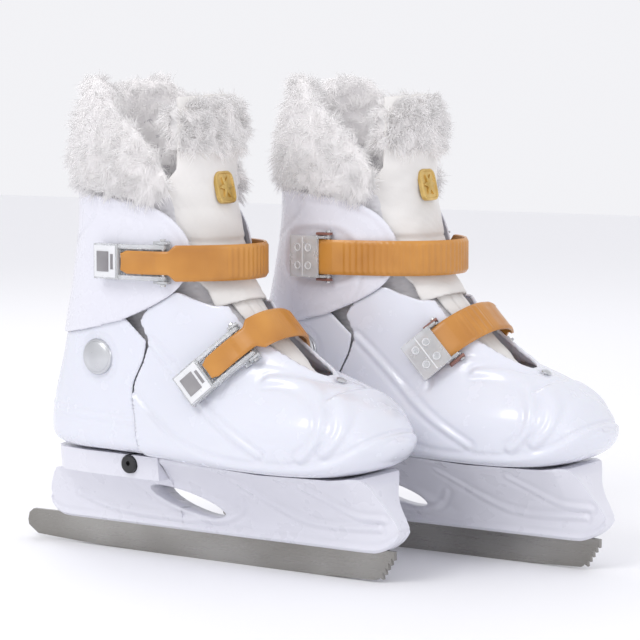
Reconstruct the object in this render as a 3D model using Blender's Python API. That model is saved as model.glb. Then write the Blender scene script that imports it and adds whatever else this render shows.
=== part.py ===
"""A pair of adjustable hard-shell ice skates with fur-trimmed liners, standing side by side.

Each skate is modelled once in its own frame, in millimetres: u forward from the heel's back,
w towards the other skate, z up from the ice. The second skate is the mirror image of the first.
World frame: metres, +Z up, toes towards -Y, right skate on the -X side.
"""

import math

import bmesh
import bpy
import numpy as np
from mathutils import Vector
from mathutils.bvhtree import BVHTree

# Placement of the two skates (mm)
SKATE_APART = 111.0
LEFT_AHEAD = 88.0
RIGHT_Y = 165.5

# Blade and holder (mm)
BLADE_HALF = 1.5
BLADE_TAIL = -34.0
BLADE_TOE = 270.5
BLADE_TOP = 20.5
TANG_TOP = 24.0
ROCKER_R = 1900.0
FLAT_FROM = 80.0
FLAT_TO = 180.0
PICKS = 5
SLOT_HALF = 1.8
HEEL_STEP = 105.8
HOLDER_REAR_TOP = 55.0
HOLDER_TOP = 71.2
SOLE_U = (HEEL_STEP, 145.0, 190.0, 240.0, 252.0)
SOLE_Z = (70.7, 69.1, 68.0, 68.0, 69.3)

# Boot wall layers, as depths inside the boot's outer surface (mm)
SHELL_IN = 2.6
CUFF_OUT = -2.2
CUFF_IN = -0.8
EAR_OUT = 4.0
EAR_IN = 6.0
TONGUE_OUT = 3.6
TONGUE_IN = 7.6
LINER_OUT = 9.1
LINER_IN = 13.5
FUR_OUT = -6.5

# Ankle hinge (mm)
ANKLE = (62.0, 136.5)
CAP_R = 12.0
SHANK_R = 4.0

# Straps and buckles (mm)
STRAP_Z = 201.5
STRAP_HALF = 11.7
STRAP_T = 2.3
TONGUE_HALF = 7.6
LEVER_LENGTH = 50.0
PIN_O = 4.4
PIN_R = 1.1
ANCHOR_LENGTH = 27.0

WHITE = (0.86, 0.86, 0.90, 1.0)
SOFT_WHITE = (0.90, 0.89, 0.92, 1.0)
OCHRE = (0.56, 0.22, 0.03, 1.0)
STEEL = (0.55, 0.54, 0.53, 1.0)
SILVER = (0.62, 0.63, 0.65, 1.0)
CLEAR = (0.82, 0.84, 0.86, 1.0)
BLACK = (0.02, 0.02, 0.02, 1.0)
GREY = (0.35, 0.33, 0.33, 1.0)

# Boot sections: front point (u, z), back point (u, z), half width, widest place, front and back squareness
SECTIONS = (
    (121.5, 316, 41.5, 328, 44.0, 0.00, 2.2, 2.2),
    (131, 280, 35, 287, 45.5, 0.00, 2.2, 2.2),
    (138, 251, 31, 254, 46.0, 0.00, 2.3, 2.2),
    (145, 222, 29.5, 225, 45.5, 0.00, 2.3, 2.2),
    (151, 197, 24, 195, 44.5, 0.00, 2.4, 2.2),
    (161, 184, 16.5, 165, 43.0, 0.00, 2.4, 2.2),
    (172, 172.5, 9.5, 136, 41.5, 0.00, 2.4, 2.3),
    (183, 161.5, 1.5, 109, 40.5, -0.05, 2.4, 2.3),
    (193, 152.5, -1, 91, 40.5, -0.05, 2.4, 2.5),
    (201, 146, 4, 77, 41.5, -0.10, 2.4, 2.9),
    (208, 140, 25, 72, 43.0, -0.15, 2.4, 3.6),
    (216, 134.5, 60, 72, 46.0, -0.25, 2.4, 4.0),
    (225, 129, 100, 72, 49.5, -0.30, 2.4, 4.0),
    (235, 125, 145, 70, 52.0, -0.35, 2.4, 4.0),
    (245, 120.5, 190, 68.8, 51.5, -0.40, 2.5, 3.8),
    (254.5, 114.5, 222, 68.8, 47.5, -0.40, 2.6, 3.4),
    (262.5, 107, 244, 70.5, 41.5, -0.35, 2.6, 3.0),
    (268.5, 99.5, 259, 74.5, 32.5, -0.20, 2.5, 2.6),
    (272, 93, 268.5, 80.5, 20.0, -0.10, 2.3, 2.3),
)
LAST = len(SECTIONS) - 1

# Outlines in side view (u, z)
SEAM_CUFF = ((10, 148), (30, 150.5), (50, 154), (70, 158.5), (85, 162.5), (94, 166))
FLAP_LOW = ((104, 170), (115, 175.5), (124.5, 181.5))
FLAP_EDGE = ((131, 189), (133, 197), (134, 208), (131, 218), (125, 227), (117, 234), (104, 239.5))
CUFF_TOP = ((85, 242), (52, 246), (10, 253))
SEAM_HEEL = ((101.5, 72), (100, 80), (95, 98), (91.5, 111), (92, 121), (100, 137), (103, 149), (98, 162))
RIM = ((-20, 301), (34, 305), (44, 314), (54, 317), (64, 312), (80, 295), (98, 280), (109, 270), (118, 256), (123, 240))


# ---------------------------------------------------------------- boot surface


def spline(rows, s):
    """Smooth value of a table of rows at the fractional row number s."""
    i = min(max(int(s), 0), len(rows) - 2)
    t = s - i
    p0 = rows[max(i - 1, 0)]
    p1 = rows[i]
    p2 = rows[i + 1]
    p3 = rows[min(i + 2, len(rows) - 1)]
    m1 = (p2 - p0) / 2
    m2 = (p3 - p1) / 2
    h1 = 2 * t**3 - 3 * t**2 + 1
    h2 = t**3 - 2 * t**2 + t
    h3 = 3 * t**2 - 2 * t**3
    h4 = t**3 - t**2
    return h1 * p1 + h2 * m1 + h3 * p2 + h4 * m2


TABLE = np.array(SECTIONS, float)


def inward(s, first, sign):
    """Inward unit normal of a profile line at s: columns first and first + 1 hold its u and z."""
    a = spline(TABLE, max(s - 0.05, 0.0))
    b = spline(TABLE, min(s + 0.05, LAST))
    du, dz = b[first] - a[first], b[first + 1] - a[first + 1]
    size = math.hypot(du, dz)
    return np.array([sign * dz / size, -sign * du / size])


def section(s, depth):
    """Front point, back point, half width, widest place and squareness of the boot at s."""
    row = spline(TABLE, s)
    depth = depth(s) if callable(depth) else depth
    front = row[0:2] + depth * inward(s, 0, 1)
    back = row[2:4] + depth * inward(s, 2, -1)
    return front, back, row[4] - depth, row[5], row[6], row[7]


def boot_point(s, angle, depth):
    """Point of the boot's surface: angle 0 is the front line, pi the back line."""
    front, back, half, widest, n_front, n_back = section(s, depth)
    c, sn = math.cos(angle), math.sin(angle)
    n = n_front if c > 0 else n_back
    reach = (1 - widest) if c > 0 else (1 + widest)
    t = widest + math.copysign(reach * abs(c) ** (2 / n), c)
    w = math.copysign(half * abs(sn) ** (2 / n), sn)
    mid = (front + back) / 2
    span = (front - back) / 2
    uz = mid + t * span
    return (uz[0], w, uz[1])


def boot_grid(depth, s0, s1, rows, cols):
    """Rings of points from s0 to s1, and a tip point that closes the last ring."""
    rings = []
    for i in range(rows):
        s = s0 + (s1 - s0) * i / (rows - 1)
        rings.append([boot_point(s, 2 * math.pi * j / cols, depth) for j in range(cols)])
    front, back, half = section(s1, depth)[:3]
    mid = (front + back) / 2
    tip = (mid[0] + 0.22 * half, 0.0, mid[1])
    return rings, tip


# ---------------------------------------------------------------- mesh helpers


def mesh_object(name, verts, faces):
    mesh = bpy.data.meshes.new(name)
    mesh.from_pydata([tuple(v) for v in verts], [], faces)
    mesh.validate()
    bm = bmesh.new()
    bm.from_mesh(mesh)
    bmesh.ops.recalc_face_normals(bm, faces=bm.faces)
    if bm.calc_volume(signed=True) < 0:
        bmesh.ops.reverse_faces(bm, faces=bm.faces)
    bm.to_mesh(mesh)
    bm.free()
    obj = bpy.data.objects.new(name, mesh)
    bpy.context.scene.collection.objects.link(obj)
    return obj


def ring_faces(first, second, count):
    faces = []
    for j in range(count):
        k = (j + 1) % count
        faces.append((first + j, first + k, second + k, second + j))
    return faces


def loft(name, rings):
    """Closed solid through equal rings, capped at both ends."""
    count = len(rings[0])
    verts = [p for ring in rings for p in ring]
    faces = [tuple(range(count))]
    for i in range(len(rings) - 1):
        faces += ring_faces(i * count, (i + 1) * count, count)
    last = (len(rings) - 1) * count
    faces.append(tuple(last + j for j in reversed(range(count))))
    return mesh_object(name, verts, faces)


def layer(name, outer, inner, s0=0.0, s1=LAST, rows=18, cols=24):
    """Open-topped shell of the boot between two depths."""
    verts = []
    faces = []
    starts = []
    for depth in (outer, inner):
        rings, tip = boot_grid(depth, s0, s1, rows, cols)
        base = len(verts)
        starts.append(base)
        verts += [p for ring in rings for p in ring] + [tip]
        for i in range(rows - 1):
            faces += ring_faces(base + i * cols, base + (i + 1) * cols, cols)
        last = base + (rows - 1) * cols
        faces += [(last + j, last + (j + 1) % cols, base + rows * cols) for j in range(cols)]
    faces += ring_faces(starts[0], starts[1], cols)
    return mesh_object(name, verts, faces)


def side_prism(name, outline, half=90.0, centre=0.0):
    """Prism across the skate from an outline in side view."""
    left = [(u, centre - half, z) for u, z in outline]
    right = [(u, centre + half, z) for u, z in outline]
    return loft(name, [left, right])


def plan_prism(name, outline, z0, z1):
    """Upright prism from an outline in plan."""
    return loft(name, [[(u, w, z0) for u, w in outline], [(u, w, z1) for u, w in outline]])


def rod(name, centre, axis, radius, half, sides=16):
    """Round bar about an axis direction, centred on a point."""
    return turned(name, centre, axis, ((-half, radius), (half, radius)), sides)


def turned(name, centre, axis, profile, sides=24):
    """Solid of revolution: profile is (distance along axis, radius), radii above zero."""
    axis = Vector(axis).normalized()
    side = axis.orthogonal().normalized()
    up = axis.cross(side)
    rings = []
    for along, radius in profile:
        ring = []
        for j in range(sides):
            a = 2 * math.pi * j / sides
            ring.append(Vector(centre) + axis * along + (side * math.cos(a) + up * math.sin(a)) * radius)
        rings.append(ring)
    return loft(name, rings)


def tidy_mesh(mesh):
    """Merges the points that a Boolean leaves almost on each other."""
    bm = bmesh.new()
    bm.from_mesh(mesh)
    bmesh.ops.remove_doubles(bm, verts=bm.verts, dist=0.004)
    bmesh.ops.dissolve_degenerate(bm, edges=bm.edges, dist=0.003)
    bm.to_mesh(mesh)
    bm.free()


def combine(target, other, operation):
    """Exact Boolean of two helper objects; the result stays in the first."""
    change = target.modifiers.new("cut", "BOOLEAN")
    change.operation = operation
    change.solver = "EXACT"
    change.object = other
    bpy.context.view_layer.update()
    graph = bpy.context.evaluated_depsgraph_get()
    mesh = bpy.data.meshes.new_from_object(target.evaluated_get(graph))
    target.modifiers.clear()
    tidy_mesh(mesh)
    old = target.data
    target.data = mesh
    bpy.data.meshes.remove(old)
    bpy.data.objects.remove(other)
    return target


def keep(target, other):
    return combine(target, other, "INTERSECT")


def remove(target, other):
    return combine(target, other, "DIFFERENCE")


def join(target, other):
    return combine(target, other, "UNION")


# ---------------------------------------------------------------- outlines


def moved(points, du, dz):
    return [(u + du, z + dz) for u, z in points]


def cuff_outline():
    return list(SEAM_CUFF) + list(FLAP_LOW) + list(FLAP_EDGE) + list(CUFF_TOP) + [(-30, 253), (-30, 145)]


def heel_outline():
    top = moved(SEAM_CUFF, 0, 2.0)
    seam = [(u - 0.5, z) for u, z in SEAM_HEEL[:-1]]
    return [(-30, 60), (97.0, 60)] + seam + list(reversed(top[:-1])) + [(-30, top[0][1])]


def front_outline():
    seam = [(u + 0.5, z) for u, z in reversed(SEAM_HEEL)]
    top = moved(FLAP_LOW, 0.4, 0.8)
    brow = [(320, 150), (215, 160), (165, 174), (150, 174), (138, 178), (130, 181.5)]
    return seam + [(98, 60), (320, 60)] + brow + list(reversed(top))


def throat_outline():
    """Opening over the instep, in plan."""
    edge = ((221, 3.5), (216, 9), (205, 13.5), (190, 18), (170, 23), (150, 26), (130, 28), (85, 29))
    return [(u, w) for u, w in edge] + [(u, -w) for u, w in reversed(edge)]


# ---------------------------------------------------------------- blade and holder


def blade_bottom(u):
    over = max(FLAT_FROM - u, u - FLAT_TO, 0.0)
    return over * over / (2 * ROCKER_R)


def make_blade():
    bottom = [(u, blade_bottom(u)) for u in np.linspace(BLADE_TAIL + 9, 257, 30)]
    outline = [(BLADE_TAIL + 3, blade_bottom(BLADE_TAIL) + 3.4)] + bottom
    pitch = 4.2
    for k in range(PICKS):
        u = 260.5 + 0.5 * pitch * k
        z = 2.2 + 3.3 * k
        outline += [(u - 1.0, z + 1.5), (u + 1.5, z)]
    outline += [(BLADE_TOE, 18.6), (BLADE_TOE, BLADE_TOP + 0.5), (262, BLADE_TOP + 1), (255, TANG_TOP)]
    outline += [(14, TANG_TOP), (8, BLADE_TOP), (BLADE_TAIL + 5, BLADE_TOP - 0.5)]
    outline += [(BLADE_TAIL + 1.2, BLADE_TOP - 3.5), (BLADE_TAIL, 12.0), (BLADE_TAIL + 0.6, 8.5)]
    return side_prism("blade", outline, BLADE_HALF)


def holder_bounds(u):
    """Bottom and top height of the holder at u."""
    rear = ((-8, 29, 37), (-7, 25.5, 42), (-3, 21.5, 49.0), (2, 19.6, 53.5), (8, 19.1, 55.0))
    front = ((252, 19.1, 69.5), (258, 19.4, 69.0), (262, 20.4, 64.0), (265, 21.6, 56.0))
    front += ((269, 23.6, 49.0), (274, 27.5, 42.0), (277, 31.5, 36.5))
    if u <= 8:
        table = rear
    elif u >= 252:
        table = front
    else:
        return 19.1, HOLDER_REAR_TOP if u < HEEL_STEP else np.interp(u, SOLE_U, SOLE_Z)
    us = [row[0] for row in table]
    return tuple(np.interp(u, us, [row[c] for row in table]) for c in (1, 2))


def holder_half(u, z):
    """Half thickness of the holder: narrow above the blade, flaring to the boot's sole."""
    foot = np.interp(u, (-8, 6, 100, 190, 250, 266, 278), (14, 26, 31, 38, 30, 17, 7))
    t = min(max((z - 22.0) / 46.0, 0.0), 1.0)
    return 6.0 + (foot - 6.0) * t**2.2


def make_holder():
    places = [-8, -7, -3, 2, 8, 30, 55, 80, HEEL_STEP - 0.2, HEEL_STEP, 125, 150, 175, 200, 225, 240]
    places += [252, 258, 262, 265, 269, 274, 277]
    steps = np.array([0, 0.12, 0.3, 0.5, 0.72, 0.9, 1.0])
    rings = []
    for u in places:
        low, high = holder_bounds(u)
        zs = low + (high - low) * steps
        halves = [holder_half(u, z) for z in zs]
        near = [(u, -h, z) for h, z in zip(halves, zs)]
        far = [(u, h, z) for h, z in zip(reversed(halves), reversed(zs))]
        rings.append(near + far)
    body = loft("blade_holder", rings)
    window = []
    for k in range(24):
        a = 2 * math.pi * k / 24
        along, across = 30.0 * math.cos(a), 7.2 * math.sin(a)
        window.append((113 + along * 0.973 + across * 0.23, 40 - along * 0.23 + across * 0.973))
    body = remove(body, side_prism("window", window))
    slot = [(-40, 10), (300, 10), (300, BLADE_TOP + 1.6), (263, BLADE_TOP + 1.6), (257.5, TANG_TOP + 0.4)]
    slot += [(12, TANG_TOP + 0.4), (6, BLADE_TOP + 0.4), (-40, BLADE_TOP + 0.4)]
    return remove(body, side_prism("slot", slot, SLOT_HALF))


def make_heel_base():
    outline = ((7, 8), (10, 18), (19, 26), (42, 30), (70, 31.5), (105.2, 33))
    around = [(u, w) for u, w in outline] + [(u, -w) for u, w in reversed(outline)]
    low = [(u + 0.4, w * 0.93, 55.4) for u, w in around]
    high = [(u, w, HOLDER_TOP) for u, w in around]
    low[5] = (105.2, low[5][1], 55.4)
    low[6] = (105.2, low[6][1], 55.4)
    block = loft("heel_base", [low, high])
    return remove(block, rod("bore", (81, -26, 64.9), (0, 1, 0), 6.5, 16, 20))


def make_button():
    profile = ((-1.5, 5.2), (-0.9, 6.1), (11.0, 6.1))
    button = turned("size_button", (81, -31.8, 64.9), (0, 1, 0), profile, 20)
    return remove(button, rod("pip", (81, -33.5, 65.5), (0, 1, 0), 1.7, 2.5, 10))


def make_spring():
    """Small coil behind the size button, lying across the skate."""
    turns, around, sides, coil_r, wire_r = 3, 9, 4, 4.2, 0.6
    start, end = -16.8, -11.6
    rings = []
    for k in range(turns * around + 1):
        a = 2 * math.pi * k / around
        w = start + (end - start) * k / (turns * around)
        ring = []
        for j in range(sides):
            b = 2 * math.pi * j / sides
            r = coil_r + wire_r * math.cos(b)
            ring.append((81 + r * math.cos(a), w + wire_r * math.sin(b), 64.9 + r * math.sin(a)))
        rings.append(ring)
    return loft("size_spring", rings)


# ---------------------------------------------------------------- boot shells


def ankle_tab(depth_out, depth_in):
    """Cuff's inner ear down to the ankle rivet, on both sides."""
    tab = layer("tab", depth_out, depth_in)
    outline = []
    for k in range(13):
        a = math.pi + math.pi * k / 12
        outline.append((ANKLE[0] + 13 * math.cos(a), ANKLE[1] + 13 * math.sin(a)))
    outline += [(ANKLE[0] + 13, 178), (ANKLE[0] - 13, 178)]
    return keep(tab, side_prism("tab_region", outline))


def ankle_hole(name):
    return rod(name, (ANKLE[0], 0, ANKLE[1]), (0, 1, 0), SHANK_R + 0.3, 70, 16)


def make_cuff():
    cuff = keep(layer("cuff", CUFF_OUT, CUFF_IN), side_prism("region", cuff_outline()))
    link = layer("link", CUFF_IN - 0.3, EAR_IN - 0.5)
    low = np.interp(ANKLE[0], [p[0] for p in SEAM_CUFF], [p[1] for p in SEAM_CUFF])
    box = [(ANKLE[0] - 12, low + 8), (ANKLE[0] + 12, low + 10), (ANKLE[0] + 12, 174), (ANKLE[0] - 12, 172)]
    link = keep(link, side_prism("link_region", box))
    cuff = join(cuff, link)
    cuff = join(cuff, ankle_tab(EAR_OUT, EAR_IN))
    return remove(cuff, ankle_hole("cuff_hole"))


def make_heel_shell():
    shell = keep(layer("heel_shell", 0.0, SHELL_IN), side_prism("region", heel_outline()))
    return remove(shell, ankle_hole("heel_hole"))


def make_front_shell(surface):
    shell = keep(layer("front_shell", 0.0, SHELL_IN + 0.2), side_prism("region", front_outline()))
    shell = remove(shell, plan_prism("throat", throat_outline(), 112, 330))
    place, normal = toe_rivet_seat(surface)
    return remove(shell, rod("rivet_hole", place, normal, 1.8, 8, 12))


def toe_rivet_seat(surface):
    """Place and direction of the rivet at the end of the instep opening."""
    place, normal = surface.ray_cast(Vector((229, 0, 200)), Vector((0, 0, -1)))[:2]
    return place, normal if normal.z > 0 else -normal


def make_toe_rivet(surface):
    place, normal = toe_rivet_seat(surface)
    profile = ((-4.6, 3.0), (-3.6, 3.0), (-3.5, 1.4), (0.55, 1.4), (0.6, 3.6), (1.3, 3.4), (2.0, 1.8))
    return turned("toe_rivet", place, normal, profile, 12)


def liner_top():
    return [(0, 141), (30, 143.5), (58, 147), (75, 147.5), (95, 147), (112, 150), (126, 155)]


def make_liner_boot():
    liner = layer("liner_boot", LINER_OUT, LINER_IN, 2.0, 17.0, 14, 20)
    outline = [(-30, 60), (320, 60), (320, 130), (232, 131)] + [(160, 180), (126, 155)]
    outline += list(reversed(liner_top()[:-1])) + [(-30, 141)]
    liner = keep(liner, side_prism("region", outline))
    throat = ((213, 4), (200, 12), (185, 17), (165, 21), (150, 23), (90, 26))
    plan = [(u, w) for u, w in throat] + [(u, -w) for u, w in reversed(throat)]
    return remove(liner, plan_prism("throat", plan, 112, 330))


def collar_depth(s):
    """The upper liner fills the cuff, and steps in below the strap to clear the cuff's ears."""
    return float(np.interp(s, (3.4, 4.3), (3.0, 8.4)))


def collar_inner_depth(s):
    return float(np.interp(s, (3.4, 4.3), (9.5, 13.0)))


def make_liner_collar():
    """Upper liner with the fur-covered collar folded over its rim."""
    low = [(-30, 146), (0, 146), (30, 148.5), (58, 152.5), (75, 155.5), (95, 159), (112, 165), (122, 171)]
    whole = low + [(125, 200), (124.5, 222)] + list(reversed(RIM)) + [(-30, 301)]
    inner = layer("liner_collar", collar_depth, collar_inner_depth, 0.0, 9.0, 15, 24)
    inner = keep(inner, side_prism("region", whole))
    fur_low = [(-30, 256), (10, 255.5), (52, 248.5), (85, 244.5), (104, 241.5), (112, 240), (117, 247)]
    fur = keep(layer("fur", FUR_OUT, 4.5, 0.0, 9.0, 15, 24), side_prism("fur", fur_low + fur_rim()))
    return join(inner, fur)


def fur_rim():
    return moved(reversed(RIM[:-1]), 0, 0.5) + [(-30, 301.5)]


def make_tongue_lower():
    pad = layer("tongue_lower", TONGUE_IN + 0.9, TONGUE_IN + 4.9, 3.0, 16.0, 16, 22)
    outline = [(160, 152), (175, 138), (200, 118), (226, 118), (205, 150), (180, 176), (170, 173)]
    pad = keep(pad, side_prism("region", outline))
    plan = ((209, 2.5), (199, 9.5), (184, 14.5), (165, 18.5), (145, 20.5))
    around = [(u, w) for u, w in plan] + [(u, -w) for u, w in reversed(plan)]
    return keep(pad, plan_prism("plan", around, 100, 260))


def make_tongue_upper():
    """Tongue from the instep to its padded top, lying against the opening of the cuff."""
    pad = layer("tongue_upper", TONGUE_OUT, TONGUE_IN, 0.0, 9.5, 16, 26)
    outline = [(133, 196), (144, 184), (153, 173), (172, 182), (155, 230), (140, 306), (104, 306)]
    outline += [(112, 284), (116, 272), (120, 259), (125, 240), (126.5, 222), (127, 203)]
    return keep(pad, side_prism("region", outline))


def make_insole():
    """Flat pad on the liner's floor."""
    table = ((24, 6), (30, 11), (42, 14), (65, 15), (100, 18), (140, 22), (180, 25), (206, 23), (222, 17), (230, 9))
    around = list(table) + [(u, -w) for u, w in reversed(table)]
    return plan_prism("insole", around, 72 + LINER_IN + 2.2, 72 + LINER_IN + 5.6)


def make_ankle_rivet(name, surface, side):
    """Domed rivet: head outside the heel shell, shank, and a flat flange inside the cuff's ear."""
    reaches = []
    for k in range(12):
        a = 2 * math.pi * k / 12
        for r in (6.0, CAP_R):
            start = Vector((ANKLE[0] + r * math.cos(a), 0, ANKLE[1] + r * math.sin(a)))
            hit = surface.ray_cast(start, Vector((0, side, 0)))[0]
            reaches.append(abs(hit.y))
    reach = max(reaches)
    inside = min(reaches[::2]) - reach - EAR_IN - 0.4
    profile = ((inside - 0.7, 6.0), (inside, 6.0), (inside, SHANK_R), (0.3, SHANK_R), (0.35, CAP_R))
    profile += ((1.2, CAP_R), (2.4, CAP_R * 0.86), (3.3, CAP_R * 0.6), (3.8, CAP_R * 0.25))
    return turned(name, (ANKLE[0], side * reach, ANKLE[1]), (0, side, 0), profile, 16)


# ---------------------------------------------------------------- straps


class Wrap:
    """Strap path: the curve where a plane across the skate meets the boot, with its width direction."""

    def __init__(self, surface, centre, slope, lift):
        self.ahead = Vector((math.cos(slope), 0, math.sin(slope)))
        self.across = Vector((-math.sin(slope), 0, math.cos(slope)))
        angles = np.radians(np.linspace(-150, 150, 121))
        reach = []
        for a in angles:
            way = self.ahead * math.cos(a) + Vector((0, math.sin(a), 0))
            hits = []
            for k in (-STRAP_HALF, 0.0, STRAP_HALF):
                start = Vector(centre) + self.across * k
                hits.append((surface.ray_cast(start, way)[0] - start).length)
            reach.append(max(hits))
        reach = np.convolve(np.pad(reach, 3, mode="edge"), np.ones(7) / 7, mode="valid") + lift
        points = [
            Vector(centre) + (self.ahead * math.cos(a) + Vector((0, math.sin(a), 0))) * r
            for a, r in zip(angles, reach)
        ]
        gaps = [0.0] + [(points[i + 1] - points[i]).length for i in range(len(points) - 1)]
        self.length = np.cumsum(gaps)
        self.length = self.length - self.length[60]
        self.points = np.array([tuple(p) for p in points])

    def at(self, distance, across, out):
        """Point at a distance along the path (0 at the front), across it and out from it."""
        place = Vector([np.interp(distance, self.length, self.points[:, c]) for c in range(3)])
        ends = []
        for d in (distance - 2.5, distance + 2.5):
            ends.append(Vector([np.interp(d, self.length, self.points[:, c]) for c in range(3)]))
        along = (ends[1] - ends[0]).normalized()
        normal = self.across.cross(along)
        if normal.dot(self.ahead * (place - self.middle()).dot(self.ahead) + self.sideways(place)) < 0:
            normal = -normal
        return place + self.across * across + normal * out

    def middle(self):
        return Vector(np.mean(self.points, axis=0))

    def sideways(self, place):
        return Vector((0, place.y, 0))

    def distance_of(self, u, side):
        """Distance along the path where it passes u on one side (-1 outer, 1 inner)."""
        best = None
        for d in np.arange(0, 150, 0.5):
            place = self.at(side * d, 0, 0)
            if best is None or abs(place.x - u) < best[0]:
                best = (abs(place.x - u), side * d)
        return best[1]


def slab(name, wrap, stations):
    """Bent bar through stations (distance, low across, high across, low out, high out)."""
    rings = []
    for d, a0, a1, o0, o1 in stations:
        rings.append([wrap.at(d, a0, o0), wrap.at(d, a1, o0), wrap.at(d, a1, o1), wrap.at(d, a0, o1)])
    return loft(name, rings)


def bar(name, wrap, d0, d1, a0, a1, o0, o1, parts=6):
    ds = np.linspace(d0, d1, parts + 1)
    return slab(name, wrap, [(d, a0, a1, o0, o1) for d in ds])


def make_strap(name, wrap, pin, hook):
    """Strap from its narrow tongue in the buckle, over the instep, to its end under the anchor."""
    marks = [pin - 29, pin - 22, pin - 12, pin, pin + 3.6, pin + 5.0, pin + 12, pin + 20, pin + 28]
    marks += list(np.linspace(pin + 38, hook - 20, 10)) + [hook - 12, hook - 5, hook, hook + 9, hook + 18]
    halves = [TONGUE_HALF] * 5 + [STRAP_HALF] * (len(marks) - 5)
    lows = [4.4, 4.8, 5.5, 5.9, 5.9, 5.8, 4.6, 2.9, 1.4] + [1.0] * 10 + [2.0, 3.3, 3.5, 3.5, 3.5]
    stations = [(d, -h, h, o, o + STRAP_T) for d, h, o in zip(marks, halves, lows)]
    return slab(name, wrap, stations)


def pin_point(wrap, distance, out):
    return wrap.at(distance, 0, out)


def make_buckle(prefix, wrap, pin):
    """Riveted base with two ears, steel pin, and the lever that swings on the pin."""
    base = bar(prefix + "buckle_base", wrap, pin - 44, pin - 5, -9.5, 9.5, 0.3, 1.6, 8)
    base = join(base, bar("front", wrap, pin - 8, pin + 4, -13.8, 13.8, 0.3, 1.6, 3))
    for side in (-1, 1):
        low, high = sorted((side * 12.0, side * 13.8))
        base = join(base, bar("ear", wrap, pin - 3.4, pin + 3.4, low, high, 0.9, 6.9, 2))
    centre = pin_point(wrap, pin, PIN_O)
    base = remove(base, rod("hole", centre, wrap.across, PIN_R + 0.25, 20, 10))
    lever = bar(prefix + "buckle_lever", wrap, pin - LEVER_LENGTH, pin - 30.5, -11.6, 11.6, 2.3, 7.6, 4)
    for side in (-1, 1):
        low, high = sorted((side * 8.7, side * 11.6))
        lever = join(lever, bar("arm", wrap, pin - 32.4, pin + 0.5, low, high, 2.3, 6.8, 6))
        eye = rod("eye", centre + wrap.across * side * 10.15, wrap.across, 2.4, 1.45, 16)
        lever = join(lever, eye)
    lever = remove(lever, rod("hole", centre, wrap.across, PIN_R + 0.25, 20, 10))
    profile = ((-15.4, 1.9), (-14.1, 2.1), (-14.1, PIN_R), (14.1, PIN_R), (14.1, 2.1), (15.4, 1.9))
    pin_obj = turned(prefix + "buckle_pin", centre, wrap.across, profile, 10)
    return base, lever, pin_obj, centre


def make_anchor(prefix, wrap, hook):
    """Base with two ears, pin, and the hinged cover that clamps the strap's end."""
    base = bar(prefix + "anchor_base", wrap, hook + 4.5, hook + ANCHOR_LENGTH, -12.0, 12.0, 0.3, 1.5, 4)
    base = join(base, bar("front", wrap, hook + 4, hook + 9, -16.2, 16.2, 0.3, 1.5, 2))
    for side in (-1, 1):
        low, high = sorted((side * 14.5, side * 16.2))
        base = join(base, bar("ear", wrap, hook - 2.6, hook + 8.0, low, high, 0.3, 4.9, 3))
    centre = pin_point(wrap, hook, 2.2)
    base = remove(base, rod("hole", centre, wrap.across, PIN_R + 0.25, 20, 10))
    cover = bar(prefix + "anchor_lever", wrap, hook + 4.6, hook + ANCHOR_LENGTH, -14.0, 14.0, 6.3, 8.6, 4)
    for side in (-1, 1):
        low, high = sorted((side * 12.3, side * 14.0))
        cheek = bar("cheek", wrap, hook - 0.4, hook + 9.5, low, high, 1.9, 7.6, 3)
        cover = join(cover, cheek)
        eye = rod("eye", centre + wrap.across * side * 13.15, wrap.across, 1.9, 0.85, 14)
        cover = join(cover, eye)
    cover = remove(cover, rod("hole", centre, wrap.across, PIN_R + 0.25, 20, 10))
    profile = ((-17.6, 1.7), (-16.5, 1.9), (-16.5, PIN_R), (16.5, PIN_R), (16.5, 1.9), (17.6, 1.7))
    pin_obj = turned(prefix + "anchor_pin", centre, wrap.across, profile, 10)
    return base, cover, pin_obj, centre


# ---------------------------------------------------------------- assembly


def boot_surface():
    """Search tree of the boot's outer surface."""
    rings, tip = boot_grid(0.0, 0.0, LAST, 80, 72)
    verts = [p for ring in rings for p in ring]
    polygons = []
    for i in range(79):
        polygons += ring_faces(i * 72, (i + 1) * 72, 72)
    return BVHTree.FromPolygons(verts, polygons)


def material(name, colour, rough, metal=0.0):
    made = bpy.data.materials.new(name)
    made.use_nodes = True
    shader = made.node_tree.nodes["Principled BSDF"]
    shader.inputs["Base Color"].default_value = colour
    shader.inputs["Roughness"].default_value = rough
    shader.inputs["Metallic"].default_value = metal
    return made


LOOKS = {
    "blade": (STEEL, 0.35, 1.0),
    "insole": (GREY, 0.9, 0.0),
    "size_button": (BLACK, 0.4, 0.0),
    "size_spring": (STEEL, 0.3, 1.0),
    "toe_rivet": (SILVER, 0.3, 1.0),
    "strap": (OCHRE, 0.4, 0.0),
    "ankle": (SILVER, 0.35, 1.0),
    "pin": (STEEL, 0.25, 1.0),
    "lever": (CLEAR, 0.15, 0.0),
    "buckle_base": (CLEAR, 0.15, 0.0),
    "anchor_base": (GREY, 0.5, 0.0),
    "liner": (SOFT_WHITE, 0.9, 0.0),
    "tongue": (SOFT_WHITE, 0.7, 0.0),
}


def look_of(name):
    for key, look in LOOKS.items():
        if key in name:
            return look
    return (WHITE, 0.3, 0.0)


def to_world(point, left):
    u, w, z = point
    if left:
        return Vector((SKATE_APART / 2 - w, RIGHT_Y - LEFT_AHEAD - u, z)) / 1000
    return Vector((-SKATE_APART / 2 + w, RIGHT_Y - u, z)) / 1000


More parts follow.
